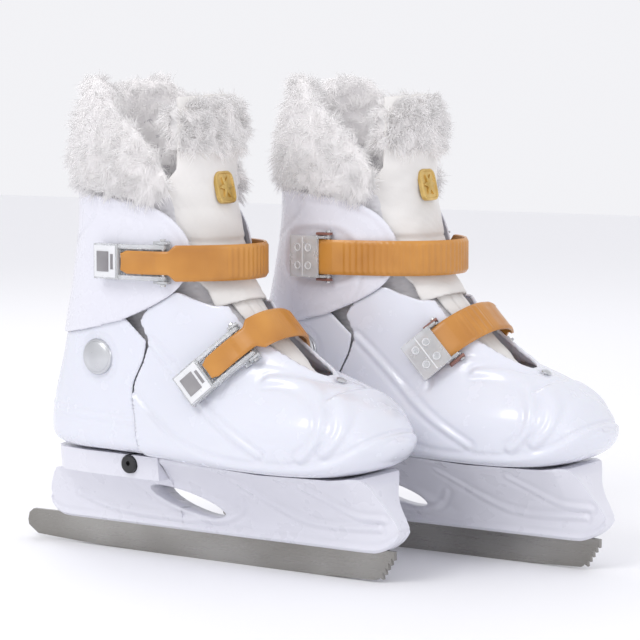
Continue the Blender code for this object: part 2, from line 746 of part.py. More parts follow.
def place(source, name, left, pivot):
    """Final object of one skate, with its origin on its joint axis."""
    origin = to_world(pivot, left)
    verts = [to_world(v.co, left) - origin for v in source.data.vertices]
    faces = [tuple(p.vertices) for p in source.data.polygons]
    if left:
        faces = [tuple(reversed(f)) for f in faces]
    mesh = bpy.data.meshes.new(name)
    mesh.from_pydata([tuple(v) for v in verts], [], faces)
    mesh.shade_smooth()
    mesh.set_sharp_from_angle(angle=math.radians(35))
    obj = bpy.data.objects.new(name, mesh)
    obj.location = origin
    obj.data.materials.append(material(name, *look_of(source.name)))
    bpy.context.scene.collection.objects.link(obj)
    bpy.context.view_layer.update()


def build():
    surface = boot_surface()
    ankle = (ANKLE[0], 0, ANKLE[1])
    rest = (0, 0, 0)
    pieces = [(make_blade(), rest), (make_holder(), rest), (make_heel_base(), rest)]
    pieces += [(make_button(), (81, -32, 64.9)), (make_spring(), rest), (make_toe_rivet(surface), rest)]
    pieces += [(make_front_shell(surface), rest), (make_heel_shell(), rest), (make_cuff(), ankle)]
    pieces += [(make_liner_boot(), rest), (make_liner_collar(), ankle), (make_insole(), rest)]
    pieces += [(make_tongue_lower(), rest), (make_tongue_upper(), ankle)]
    pieces += [(make_ankle_rivet("ankle_rivet_lateral", surface, -1), ankle)]
    pieces += [(make_ankle_rivet("ankle_rivet_medial", surface, 1), ankle)]
    wraps = {
        "upper_": (Wrap(surface, (85, 0, STRAP_Z), 0.0, 2.5), 121, 90),
        "lower_": (Wrap(surface, (155, 0, 133), math.radians(43.6), 0.4), 173, 171),
    }
    for prefix, (wrap, pin_u, hook_u) in wraps.items():
        pin = wrap.distance_of(pin_u, -1)
        hook = wrap.distance_of(hook_u, 1)
        pieces.append((make_strap(prefix + "strap", wrap, pin, hook), rest))
        base, lever, pin_obj, centre = make_buckle(prefix, wrap, pin)
        pieces += [(base, rest), (lever, centre), (pin_obj, centre)]
        base, cover, pin_obj, centre = make_anchor(prefix, wrap, hook)
        pieces += [(base, rest), (cover, centre), (pin_obj, centre)]
    for left, prefix in ((False, "right_"), (True, "left_")):
        for source, pivot in pieces:
            place(source, prefix + source.name, left, pivot)
    for source, _ in pieces:
        bpy.data.objects.remove(source)


def clear():
    for obj in list(bpy.data.objects):
        bpy.data.objects.remove(obj)


clear()
build()
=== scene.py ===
"""Looks of a pair of adjustable hard-shell ice skates with fur-trimmed liners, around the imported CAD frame.

Each skate is modelled once in its own frame, in millimetres: u forward from the heel's back,
w towards the other skate, z up from the ice. The left skate mirrors the right one.
"""

import math

import bpy
import numpy as np
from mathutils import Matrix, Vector
from mathutils.bvhtree import BVHTree


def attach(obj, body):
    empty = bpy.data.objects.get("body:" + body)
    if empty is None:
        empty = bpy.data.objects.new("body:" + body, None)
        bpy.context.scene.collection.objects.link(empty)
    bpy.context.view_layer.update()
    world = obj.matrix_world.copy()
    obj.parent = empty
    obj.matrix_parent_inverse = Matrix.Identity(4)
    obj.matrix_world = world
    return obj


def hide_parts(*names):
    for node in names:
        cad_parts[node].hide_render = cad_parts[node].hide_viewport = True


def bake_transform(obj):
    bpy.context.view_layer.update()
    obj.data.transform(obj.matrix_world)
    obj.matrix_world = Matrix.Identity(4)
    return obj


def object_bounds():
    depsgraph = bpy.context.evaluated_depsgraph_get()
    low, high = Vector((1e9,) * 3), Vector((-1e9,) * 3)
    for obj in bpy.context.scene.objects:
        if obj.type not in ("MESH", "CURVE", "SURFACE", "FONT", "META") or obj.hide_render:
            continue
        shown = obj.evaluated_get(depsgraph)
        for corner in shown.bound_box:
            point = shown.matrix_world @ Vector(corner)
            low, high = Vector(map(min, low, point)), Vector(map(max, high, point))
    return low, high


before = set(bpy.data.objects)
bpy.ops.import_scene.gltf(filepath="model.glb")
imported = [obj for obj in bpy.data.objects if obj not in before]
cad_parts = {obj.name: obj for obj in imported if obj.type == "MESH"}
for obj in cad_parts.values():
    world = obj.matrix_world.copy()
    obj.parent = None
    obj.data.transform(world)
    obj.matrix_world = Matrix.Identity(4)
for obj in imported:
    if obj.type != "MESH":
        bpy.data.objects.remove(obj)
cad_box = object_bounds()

# Placement of the two skates (mm), as in the CAD frame
SKATE_APART = 111.0
LEFT_AHEAD = 88.0
RIGHT_Y = 165.5

# Depths inside the boot's outer surface, and wall thickness (mm)
CUFF_OUT = -2.2
WALL = 2.2
CUFF_WALL = 1.0
EDGE_R = 1.3
LINER_OUT = 9.1

ANKLE = (62.0, 136.5)
CAP_R = 12.0
STRAP_HALF = 11.7
STRAP_T = 2.3
TONGUE_HALF = 7.6
PIN_O = 4.4
LEVER_LENGTH = 50.0
ANCHOR_LENGTH = 27.0
STRAP_Z = 201.5
UPPER_MIDDLE = 85.0
LOWER_STRAP = (155.0, 133.0)
LOWER_SLOPE = 43.6
UPPER_PINS = (121.0, 90.0)
LOWER_PINS = (173.0, 171.0)
RIB_PITCH = 4.1
RIB_HEIGHT = 0.55

# Fur: number of hairs, length and width (mm)
COLLAR_HAIRS = (30000, 5.6, 0.55)
TONGUE_HAIRS = (20000, 5.6, 0.5)
TUFT = 6.0
TUFT_KINDS = 997

# Tongue and its fur (mm)
TONGUE_FUR_FROM = 273.0
TONGUE_FUR_TO = 306.0
TONGUE_FUR_HALF = 34.0
TONGUE_LEAN = 15.0
BADGE_Z = 250.0
BADGE_HALF = (9.5, 10.8)
BADGE_CORNER = 0.45

# Boot sections: front point (u, z), back point (u, z), half width, widest place, front and back squareness
SECTIONS = (
    (121.5, 316, 41.5, 328, 44.0, 0.00, 2.2, 2.2),
    (131, 280, 35, 287, 45.5, 0.00, 2.2, 2.2),
    (138, 251, 31, 254, 46.0, 0.00, 2.3, 2.2),
    (145, 222, 29.5, 225, 45.5, 0.00, 2.3, 2.2),
    (151, 197, 24, 195, 44.5, 0.00, 2.4, 2.2),
    (161, 184, 16.5, 165, 43.0, 0.00, 2.4, 2.2),
    (172, 172.5, 9.5, 136, 41.5, 0.00, 2.4, 2.3),
    (183, 161.5, 1.5, 109, 40.5, -0.05, 2.4, 2.3),
    (193, 152.5, -1, 91, 40.5, -0.05, 2.4, 2.5),
    (201, 146, 4, 77, 41.5, -0.10, 2.4, 2.9),
    (208, 140, 25, 72, 43.0, -0.15, 2.4, 3.6),
    (216, 134.5, 60, 72, 46.0, -0.25, 2.4, 4.0),
    (225, 129, 100, 72, 49.5, -0.30, 2.4, 4.0),
    (235, 125, 145, 70, 52.0, -0.35, 2.4, 4.0),
    (245, 120.5, 190, 68.8, 51.5, -0.40, 2.5, 3.8),
    (254.5, 114.5, 222, 68.8, 47.5, -0.40, 2.6, 3.4),
    (262.5, 107, 244, 70.5, 41.5, -0.35, 2.6, 3.0),
    (268.5, 99.5, 259, 74.5, 32.5, -0.20, 2.5, 2.6),
    (272, 93, 268.5, 80.5, 20.0, -0.10, 2.3, 2.3),
)
LAST = len(SECTIONS) - 1
TABLE = np.array(SECTIONS, float)
ROWS = 300
COLS = 256
CAP_ROWS = 14

# Outlines in side view (u, z)
SEAM_CUFF = ((10, 148), (30, 150.5), (50, 154), (70, 158.5), (85, 162.5), (94, 166))
FLAP_LOW = ((104, 170), (115, 175.5), (124.5, 181.5))
FLAP_EDGE = ((131, 189), (133, 197), (134, 208), (131, 218), (125, 227), (117, 234), (104, 239.5))
CUFF_TOP = ((85, 242), (52, 246), (10, 253))
SEAM_HEEL = ((101.5, 72), (100, 80), (95, 98), (91.5, 111), (92, 121), (100, 137), (103, 149), (98, 162))
BROW = ((320, 150), (215, 160), (165, 174), (150, 174), (138, 178), (130, 181.5))
THROAT = ((221, 3.5), (216, 9), (205, 13.5), (190, 18), (170, 23), (150, 26), (130, 28), (85, 29))
RIM = ((-20, 301), (34, 305), (44, 314), (54, 317), (64, 312), (80, 295), (98, 280), (109, 270))
RIM += ((118, 256), (123, 240))
FUR_LOW = ((-30, 256), (10, 255.5), (52, 248.5), (85, 244.5), (104, 241.5), (112, 240))
FUR_LOW += ((117, 247), (140, 262))

# Mouldings of the shells, in side view: arcs are centre, semi-axes, first and last angle in degrees
SOLE_BAND = 76.0
BAND_MIDDLE = 190.0
TOE_ARCS = (((200, 102), (41, 27), 100, -45), ((200, 102), (54, 26), 42, -35))
FOLD_ARC = ((185, 117), (22, 22), 180, 90)
FLAP_ARC = ((74, 200), (40, 42), -85, 0)
CREASE = ((106, 148), (150, 111), (200, 83))
BACK_PANEL = ((66, 247), (64, 230), (28, 206))
KEYHOLE = (74, 235, 2.4)
KEY_SLOT = ((76, 235), (96, 230))
ANCHOR_RECESS = (80.0, 202.0, 28.0, 19.0)

# Camera: angles in degrees, lengths in metres, lens in mm
CAMERA_AZIMUTH = -56.0
CAMERA_ELEVATION = 5.5
CAMERA_DISTANCE = 1.6325
CAMERA_AIM_RIGHT = 0.008
CAMERA_LENS = 136.7


# ---- curves and distances


def catmull(points, count):
    """Smooth curve through points, as count points."""
    table = np.array(points, float)
    s = np.linspace(0, len(table) - 1, count)
    return spline(table, s)


def curve(points, count=60):
    return [tuple(p) for p in catmull(points, count)]


def both_sides(edge):
    """Closed plan outline from its edge on one side."""
    return list(edge) + [(a, -b) for a, b in reversed(edge)]


def spline(table, s):
    i = np.clip(s.astype(int), 0, len(table) - 2)
    t = (s - i)[..., None]
    p0 = table[np.maximum(i - 1, 0)]
    p1, p2 = table[i], table[i + 1]
    p3 = table[np.minimum(i + 2, len(table) - 1)]
    m1, m2 = (p2 - p0) / 2, (p3 - p1) / 2
    start = (2 * t**3 - 3 * t**2 + 1) * p1 + (t**3 - 2 * t**2 + t) * m1
    return start + (3 * t**2 - 2 * t**3) * p2 + (t**3 - t**2) * m2


def arc(centre, semi, first, last, count=40):
    angle = np.radians(np.linspace(first, last, count))
    return np.stack([centre[0] + semi[0] * np.cos(angle), centre[1] + semi[1] * np.sin(angle)], 1)


def line_distance(a, b, line):
    """Distance from the points (a, b) to an open line in the same plane."""
    best = np.full(np.shape(a), 1e9)
    for (p, q), (r, s) in zip(line[:-1], line[1:]):
        du, dz = r - p, s - q
        size = du * du + dz * dz + 1e-12
        t = np.clip(((a - p) * du + (b - q) * dz) / size, 0, 1)
        best = np.minimum(best, np.hypot(a - p - t * du, b - q - t * dz))
    return best


def inside_distance(a, b, outline):
    """Distance to a closed outline, positive inside."""
    ring = np.array(list(outline) + [outline[0]], float)
    inside = np.zeros(np.shape(a), bool)
    for (p, q), (r, s) in zip(ring[:-1], ring[1:]):
        crosses = (q > b) != (s > b)
        inside ^= crosses & (a < (r - p) * (b - q) / (s - q + 1e-12) + p)
    return np.where(inside, 1, -1) * line_distance(a, b, ring)


def step(x, low, high):
    t = np.clip((x - low) / (high - low), 0, 1)
    return t * t * (3 - 2 * t)


def bump(distance, width):
    return np.exp(-((distance / width) ** 2))


# ---- boot surface


def boot_ring(row):
    """One ring of the boot's outer surface, evenly spaced on each side."""
    q = np.linspace(0, 1, 400)
    half = (math.pi / 2) * q**2.5 / (q**2.5 + (1 - q) ** 2.5)
    angle = np.concatenate([half, math.pi / 2 + half[1:]])
    c, sn = np.cos(angle), np.sin(angle)
    n = np.where(c > 0, row[6], row[7])
    reach = np.where(c > 0, 1 - row[5], 1 + row[5])
    t = row[5] + np.sign(c) * reach * np.abs(c) ** (2 / n)
    w = row[4] * np.abs(sn) ** (2 / n)
    uz = (row[0:2] + row[2:4]) / 2 + t[:, None] * (row[0:2] - row[2:4]) / 2
    line = np.stack([uz[:, 0], w, uz[:, 1]], 1)
    return even_ring(line)


def even_ring(line):
    run = np.concatenate([[0], np.cumsum(np.linalg.norm(np.diff(line, axis=0), axis=1))])
    x = np.linspace(0, run[-1], COLS // 2 + 1)
    side = np.stack([np.interp(x, run, line[:, k]) for k in range(3)], 1)
    return np.concatenate([side, side[-2:0:-1] * (1, -1, 1)])


def boot_surface():
    """Points and outward normals of the whole boot, as rows of rings that close over the toe."""
    rings = [boot_ring(row) for row in spline(TABLE, np.linspace(0, LAST, ROWS))]
    last = rings[-1]
    middle = last.mean(0)
    for k in range(1, CAP_ROWS + 1):
        r = 1 - 0.995 * k / CAP_ROWS
        rise = 1 - r * r
        rings.append(middle + (last - middle) * r + np.array([4.0 * rise, 0, 0.6 * rise]))
    points = np.array(rings)
    along = np.gradient(points, axis=0)
    across = np.roll(points, -1, 1) - np.roll(points, 1, 1)
    normals = np.cross(along, across)
    normals /= np.linalg.norm(normals, axis=2, keepdims=True) + 1e-9
    if (normals * (points - points.mean(1, keepdims=True))).sum() < 0:
        normals = -normals
    return points, normals


BOOT, NORMAL = boot_surface()
S_OF_ROW = np.concatenate([np.linspace(0, LAST, ROWS), np.full(CAP_ROWS, float(LAST))])


# ---- mesh helpers


def to_world(points, left):
    points = np.asarray(points, float)
    u, w, z = points[:, 0], points[:, 1], points[:, 2]
    if left:
        x, y = SKATE_APART / 2 - w, RIGHT_Y - LEFT_AHEAD - u
    else:
        x, y = w - SKATE_APART / 2, RIGHT_Y - u
    return np.stack([x, y, z], 1) / 1000


def make(name, points, faces, left, look, smooth_angle=None):
    """Mesh object from one skate's own frame, placed on the right or left skate."""
    mesh = bpy.data.meshes.new(name)
    if left:
        faces = [tuple(reversed(f)) for f in faces]
    mesh.from_pydata(to_world(points, left).tolist(), [], faces)
    mesh.shade_smooth()
    if smooth_angle:
        mesh.set_sharp_from_angle(angle=math.radians(smooth_angle))
    obj = bpy.data.objects.new(name, mesh)
    obj.data.materials.append(look)
    bpy.context.scene.collection.objects.link(obj)
    return obj


def used_only(points, faces):
    """Drops the points no face uses."""
    used = sorted({int(i) for f in faces for i in f})
    new = {old: k for k, old in enumerate(used)}
    return np.asarray(points)[used], [tuple(new[int(i)] for i in f) for f in faces]


def clip(points, faces, keep):
    """Faces where keep is positive, cut along the line where it is zero."""
    keep = np.where(np.abs(keep) < 0.06, 0.0, keep)
    inside = keep[faces] >= 0
    count = inside.sum(1)
    result = [tuple(f) for f in faces[count == 4].tolist()]
    cuts, extra = {}, []
    for face in faces[(count > 0) & (count < 4)].tolist():
        poly = []
        for a, b in zip(face, face[1:] + face[:1]):
            if keep[a] >= 0:
                poly.append(a)
            if keep[a] * keep[b] < 0:
                low, high = min(a, b), max(a, b)
                if (low, high) not in cuts:
                    t = keep[low] / (keep[low] - keep[high])
                    cuts[low, high] = len(points) + len(extra)
                    extra.append(points[low] * (1 - t) + points[high] * t)
                poly.append(cuts[low, high])
        if len(poly) >= 3:
            result.append(tuple(poly))
    if extra:
        points = np.concatenate([points, np.array(extra)])
    return used_only(points, result)


def grid_faces(rows, cols, closed=True):
    i, j = np.meshgrid(np.arange(rows - 1), np.arange(cols if closed else cols - 1), indexing="ij")
    i, j = i.ravel(), j.ravel()
    k = (j + 1) % cols
    return np.stack([i * cols + j, (i + 1) * cols + j, (i + 1) * cols + k, i * cols + k], 1)


def outward(points, faces):
    """Faces turned so that they face away from the middle."""
    points = np.asarray(points)
    f = np.array([face[:3] for face in faces])
    a, b, c = points[f[:, 0]], points[f[:, 1]], points[f[:, 2]]
    facing = (np.cross(b - a, c - a) * ((a + b + c) / 3 - points.mean(0))).sum()
    return faces if facing > 0 else [tuple(reversed(face)) for face in faces]


def layer(depth, detail, region, rows=slice(None)):
    """Clipped sheet of the boot at a depth. depth is by row, detail and region are by point."""
    base, normal = BOOT[rows], NORMAL[rows]
    depth = np.broadcast_to(np.asarray(depth, float), S_OF_ROW.shape)[rows][:, None]
    u, w, z = base[..., 0], base[..., 1], base[..., 2]
    keep = region(u, w, z)
    roll = EDGE_R - np.sqrt(EDGE_R**2 - np.clip(EDGE_R - keep, 0, EDGE_R) ** 2)
    out = -depth + detail(u, w, z) - 0.8 * roll
    points = (base + normal * out[..., None]).reshape(-1, 3)
    faces = grid_faces(base.shape[0], COLS)
    points, faces = clip(points, faces, keep.ravel())
    return points, outward(points, faces)


def thick(obj, size):
    change = obj.modifiers.new("wall", "SOLIDIFY")
    change.thickness = size / 1000
    change.offset = -1


def rounded(obj, size):
    change = obj.modifiers.new("edges", "BEVEL")
    change.width = size / 1000
    change.segments = 3
    change.limit_method = "ANGLE"
    change.angle_limit = math.radians(35)


def place(obj, body, node, slot):
    """Puts a finished piece on its body and hides the CAD node it stands for, if any; the slot that names its
    finish is not used.
    """
    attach(obj, body)
    if node:
        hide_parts(node)


def loft(rings, cap=True):
    """Closed solid through equal rings."""
    rings = np.asarray(rings, float)
    rows, cols = rings.shape[:2]
    faces = [tuple(f) for f in grid_faces(rows, cols).tolist()]
    if cap:
        last = (rows - 1) * cols
        faces += [tuple(range(cols)), tuple(last + j for j in reversed(range(cols)))]
    points = rings.reshape(-1, 3)
    return points, outward(points, faces)


def merged(*parts):
    points, faces, start = [], [], 0
    for part_points, part_faces in parts:
        points.append(np.asarray(part_points))
        faces += [tuple(i + start for i in f) for f in part_faces]
        start += len(part_points)
    return np.concatenate(points), faces


def turned(centre, axis, profile, sides=48):
    """Solid of revolution: profile is (distance along axis, radius)."""
    axis = Vector(axis).normalized()
    side = axis.orthogonal().normalized()
    up = axis.cross(side)
    angle = np.linspace(0, 2 * math.pi, sides, endpoint=False)
    round_ = np.outer(np.cos(angle), side) + np.outer(np.sin(angle), up)
    rings = [np.array(centre) + np.array(axis) * along + round_ * radius for along, radius in profile]
    return loft(rings)


# ---- materials


def new_look(name, colour, rough, metal=0.0, **sockets):
    look = bpy.data.materials.new(name)
    look.use_nodes = True
    shader = look.node_tree.nodes["Principled BSDF"]
    shader.inputs["Base Color"].default_value = (*colour, 1)
    shader.inputs["Roughness"].default_value = rough
    shader.inputs["Metallic"].default_value = metal
    for socket, value in sockets.items():
        shader.inputs[socket.replace("_", " ")].default_value = value
    return look


def noise(look, scale, detail=3.0, stretch=(1, 1, 1)):
    nodes, links = look.node_tree.nodes, look.node_tree.links
    place = nodes.new("ShaderNodeTexCoord")
    turn = nodes.new("ShaderNodeMapping")
    turn.inputs["Scale"].default_value = stretch
    grain = nodes.new("ShaderNodeTexNoise")
    grain.inputs["Scale"].default_value = scale
    grain.inputs["Detail"].default_value = detail
    links.new(place.outputs["Object"], turn.inputs["Vector"])
    links.new(turn.outputs["Vector"], grain.inputs["Vector"])
    return grain.outputs["Fac"]


def spread(look, fac, low, high):
    """Value of a noise spread from low to high."""
    ramp = look.node_tree.nodes.new("ShaderNodeMapRange")
    ramp.inputs["From Min"].default_value = 0.3
    ramp.inputs["From Max"].default_value = 0.7
    ramp.inputs["To Min"].default_value = low
    ramp.inputs["To Max"].default_value = high
    look.node_tree.links.new(fac, ramp.inputs["Value"])
    return ramp.outputs["Result"]


def vary_colour(look, fac, dark, light):
    ramp = look.node_tree.nodes.new("ShaderNodeValToRGB")
    ramp.color_ramp.elements[0].position = 0.3
    ramp.color_ramp.elements[1].position = 0.7
    ramp.color_ramp.elements[0].color = (*dark, 1)
    ramp.color_ramp.elements[1].color = (*light, 1)
    shader = look.node_tree.nodes["Principled BSDF"]
    look.node_tree.links.new(fac, ramp.inputs["Fac"])
    look.node_tree.links.new(ramp.outputs["Color"], shader.inputs["Base Color"])


def vary_rough(look, fac, low, high):
    shader = look.node_tree.nodes["Principled BSDF"]
    look.node_tree.links.new(spread(look, fac, low, high), shader.inputs["Roughness"])


def relief(look, fac, strength, size):
    node = look.node_tree.nodes.new("ShaderNodeBump")
    node.inputs["Strength"].default_value = strength
    node.inputs["Distance"].default_value = size
    shader = look.node_tree.nodes["Principled BSDF"]
    look.node_tree.links.new(fac, node.inputs["Height"])
    look.node_tree.links.new(node.outputs["Normal"], shader.inputs["Normal"])


def textured(name, colours, roughs, scale, grain, relief_size, metal=0.0, stretch=(1, 1, 1), **sockets):
    """Material with a broad colour change, a finer roughness change and a fine grain in relief."""
    look = new_look(name, colours[0], roughs[0], metal, **sockets)
    vary_colour(look, noise(look, scale, 2.0), *colours)
    vary_rough(look, noise(look, scale * 6, 4.0, stretch), *roughs)
    relief(look, noise(look, grain, 3.0, stretch), 0.5, relief_size)
    return look


def cloth_look(name, colours, scale):
    """Knitted pile: two crossed waves for the yarns over a mottled colour."""
    look = new_look(name, colours[0], 0.9, Sheen_Weight=0.5, Sheen_Roughness=0.4)
    vary_colour(look, noise(look, 60, 3.0), *colours)
    nodes, links = look.node_tree.nodes, look.node_tree.links
    place = nodes.new("ShaderNodeTexCoord")
    waves = []
    for direction in ("X", "Z"):
        wave = nodes.new("ShaderNodeTexWave")
        wave.bands_direction = direction
        wave.inputs["Scale"].default_value = scale
        wave.inputs["Distortion"].default_value = 1.5
        links.new(place.outputs["Object"], wave.inputs["Vector"])
        waves.append(wave.outputs["Fac"])
    both = nodes.new("ShaderNodeMath")
    both.operation = "MULTIPLY"
    links.new(waves[0], both.inputs[0])
    links.new(waves[1], both.inputs[1])
    relief(look, both.outputs[0], 0.6, 0.0006)
    return look


SHELL = textured("shell", ((0.75, 0.75, 0.82), (0.77, 0.77, 0.84)), (0.16, 0.30), 12, 900, 0.00006,
                 Coat_Weight=0.35, Coat_Roughness=0.08, Subsurface_Weight=0.04)
CUFF_LOOK = textured("cuff_shell", ((0.75, 0.75, 0.82), (0.775, 0.775, 0.84)), (0.2, 0.34), 14, 900, 0.00006,
                     Coat_Weight=0.3, Coat_Roughness=0.1)
HOLDER = textured("holder", ((0.73, 0.73, 0.795), (0.76, 0.76, 0.82)), (0.24, 0.38), 10, 1100, 0.00008,
                  Coat_Weight=0.15)
STEEL = textured("brushed_steel", ((0.20, 0.19, 0.17), (0.46, 0.45, 0.43)), (0.24, 0.36), 9, 900, 0.00004,
                 1.0, (6, 1, 40))
SATIN = textured("satin_silver", ((0.52, 0.53, 0.55), (0.66, 0.67, 0.69)), (0.26, 0.4), 40, 900, 0.00005, 1.0)
PIN_LOOK = textured("pin_steel", ((0.5, 0.5, 0.5), (0.7, 0.7, 0.7)), (0.18, 0.32), 60, 900, 0.00004, 1.0)
SPRING = textured("spring_steel", ((0.4, 0.4, 0.42), (0.6, 0.6, 0.6)), (0.25, 0.4), 60, 700, 0.00004, 1.0)
BLACK = textured("button_black", ((0.012, 0.012, 0.014), (0.03, 0.03, 0.032)), (0.3, 0.5), 60, 900, 0.00006)
OCHRE = textured("strap_ochre", ((0.46, 0.185, 0.028), (0.62, 0.28, 0.05)), (0.28, 0.45), 30, 700, 0.00008,
                 Coat_Weight=0.25, Coat_Roughness=0.2)
CLEAR = textured("frosted_clear", ((0.84, 0.86, 0.88), (0.93, 0.94, 0.95)), (0.12, 0.3), 40, 700, 0.00005,
                 Transmission_Weight=0.55, IOR=1.46)
FROST = textured("frosted_white", ((0.82, 0.83, 0.85), (0.9, 0.9, 0.92)), (0.25, 0.45), 50, 800, 0.00008,
                 Transmission_Weight=0.1)
GREY = textured("inlay_grey", ((0.22, 0.21, 0.22), (0.34, 0.33, 0.34)), (0.35, 0.55), 60, 800, 0.00008)
RECESS = textured("anchor_base", ((0.20, 0.07, 0.05), (0.32, 0.16, 0.13)), (0.4, 0.6), 50, 600, 0.00008)
GOLD = textured("badge_gold", ((0.55, 0.36, 0.10), (0.78, 0.56, 0.22)), (0.25, 0.45), 90, 900, 0.0001, 0.85)
LEATHER = textured("tongue_leather", ((0.70, 0.68, 0.66), (0.82, 0.80, 0.78)), (0.45, 0.65), 25, 380, 0.0003,
                   Sheen_Weight=0.15)
LINER = cloth_look("liner_knit", ((0.60, 0.59, 0.61), (0.74, 0.73, 0.75)), 90)
INSOLE = cloth_look("insole_felt", ((0.28, 0.26, 0.26), (0.38, 0.36, 0.36)), 120)
# Off-white fur with a painted glow: its white emission stands in for light scattered among the hairs
FUR_PAINTED_GLOW = textured("fur", ((0.93, 0.92, 0.92), (0.99, 0.98, 0.98)), (0.75, 0.9), 70, 500, 0.0001,
               Sheen_Weight=0.2, Sheen_Roughness=0.4,
               Emission_Color=(1.0, 0.98, 0.99, 1.0), Emission_Strength=0.22)


def let_light_through(look, colour, share):
    """Thin hairs pass light on to those behind them."""
    nodes, links = look.node_tree.nodes, look.node_tree.links
    glow = nodes.new("ShaderNodeBsdfTranslucent")
    glow.inputs["Color"].default_value = (*colour, 1)
    mix = nodes.new("ShaderNodeMixShader")
    mix.inputs["Fac"].default_value = share
    links.new(nodes["Principled BSDF"].outputs["BSDF"], mix.inputs[1])
    links.new(glow.outputs["BSDF"], mix.inputs[2])
    links.new(mix.outputs["Shader"], nodes["Material Output"].inputs["Surface"])


let_light_through(FUR_PAINTED_GLOW, (0.98, 0.97, 0.97), 0.55)


# ---- shells


def front_region(u, w, z):
    seam = [(a + 0.5, b) for a, b in catmull(SEAM_HEEL, 60)[::-1]]
    top = [(a + 0.4, b + 0.8) for a, b in FLAP_LOW]
    outline = seam + [(98, 60), (320, 60)] + list(BROW) + top[::-1]
    side = inside_distance(u, z, outline)
    hole = inside_distance(u, w, both_sides(curve(THROAT)))
    return np.minimum(side, np.where(z > 112, -hole, 50.0))


def band_top(u):
    """Top of the proud band round the sole: low at midfoot, rising to the heel seam and round the toe."""
    rear = 36 * np.clip((BAND_MIDDLE - u) / 95, 0, 2) ** 2.2
    return SOLE_BAND + rear + 20 * np.clip((u - BAND_MIDDLE) / 80, 0, 1.1) ** 4


def front_detail(u, w, z):
    """Proud band round the sole, ridges over the toe, a crease down the flank and a fold under the buckle."""
    band = 0.8 * (band_top(u) - z)
    out = 1.4 * step(band, -0.8, 1.6) - 0.6 * bump(band + 1.8, 1.4)
    for ridge in TOE_ARCS:
        gap = line_distance(u, z, arc(*ridge))
        out = out + 1.3 * bump(gap, 2.4) - 0.8 * bump(gap - 4.2, 1.8)
    gap = line_distance(u, z, catmull(CREASE, 40))
    out = out + 0.8 * bump(gap, 2.0) - 0.8 * bump(gap - 3.4, 1.7)
    gap = line_distance(u, z, arc(*FOLD_ARC))
    out = out - 0.7 * bump(gap, 1.7)
    edge = np.where(z > 112, line_distance(u, np.abs(w), curve(THROAT)), 50)
    return out + 0.5 * bump(edge - 2.4, 1.8) - 0.5 * bump(edge - 6.5, 1.5)


def heel_region(u, w, z):
    top = [(a, b + 2.0) for a, b in SEAM_CUFF]
    seam = [(a - 0.5, b) for a, b in catmull(SEAM_HEEL[:-1], 60)]
    outline = [(-30, 60), (97.0, 60)] + seam + top[:-1][::-1] + [(-30, top[0][1])]
    return inside_distance(u, z, outline)


def heel_detail(u, w, z):
    """Shallow dish round the ankle rivet, and a band above the sole."""
    ring = np.hypot(u - ANKLE[0], z - ANKLE[1])
    out = -0.6 * step(17.5 - ring, 0, 1.5)
    band = line_distance(u, z, catmull(((-20, 103), (40, 97), (95, 96)), 40))
    return out * (ring > 12.5) + 0.35 * bump(band, 1.8) - 0.4 * bump(band - 3.2, 1.2)


def cuff_region(u, w, z):
    edge = curve(FLAP_LOW + FLAP_EDGE + CUFF_TOP, 120)
    return inside_distance(u, z, list(SEAM_CUFF) + edge + [(-30, 253), (-30, 145)])


def cuff_detail(u, w, z):
    """Back panel line, keyhole groove on the outer side, and the anchor's recess on the inner side."""
    outer, inner = w < 0, w >= 0
    panel = line_distance(u, z, catmull(BACK_PANEL, 50))
    out = -0.75 * bump(panel, 0.9)
    ring = np.abs(np.hypot(u - KEYHOLE[0], z - KEYHOLE[1]) - KEYHOLE[2])
    key = np.minimum(ring, np.abs(line_distance(u, z, KEY_SLOT) - 1.0))
    out = out - 0.7 * bump(key, 0.8) * outer
    middle_u, middle_z, half_u, half_z = ANCHOR_RECESS
    size = (np.abs((u - middle_u) / half_u) ** 3 + np.abs((z - middle_z) / half_z) ** 3) ** (1 / 3)
    recess = (1 - size) * half_z
    out = out - inner * (0.9 * step(recess, -0.8, 1.6) - 0.4 * bump(recess + 2.6, 1.6))
    seam = line_distance(u, z, arc(*FLAP_ARC))
    out = out - inner * 0.7 * bump(seam, 1.0)
    low = line_distance(u, z, SEAM_CUFF)
    rim = line_distance(u, z, catmull(FLAP_EDGE + CUFF_TOP, 60))
    return out - 0.2 * bump(low - 4.5, 1.2) + 0.4 * bump(rim - 2.2, 1.6) - 0.3 * bump(rim - 5.2, 1.2)


def make_shells(pre, left):
    front = make(pre + "toe_shell", *layer(0, front_detail, front_region), left, SHELL, 50)
    heel = make(pre + "rear_shell", *layer(0, heel_detail, heel_region), left, SHELL, 50)
    cuff = make(pre + "ankle_cuff", *layer(CUFF_OUT, cuff_detail, cuff_region), left, CUFF_LOOK, 50)
    facts = ((front, WALL, "chassis", "front_shell"), (heel, WALL, "heel", "heel_shell"))
    facts += ((cuff, CUFF_WALL, "cuff", "cuff"),)
    for obj, wall, body, node in facts:
        thick(obj, wall)
        place(obj, pre + body, pre + node, "shell_plastic")


# ---- blade holder

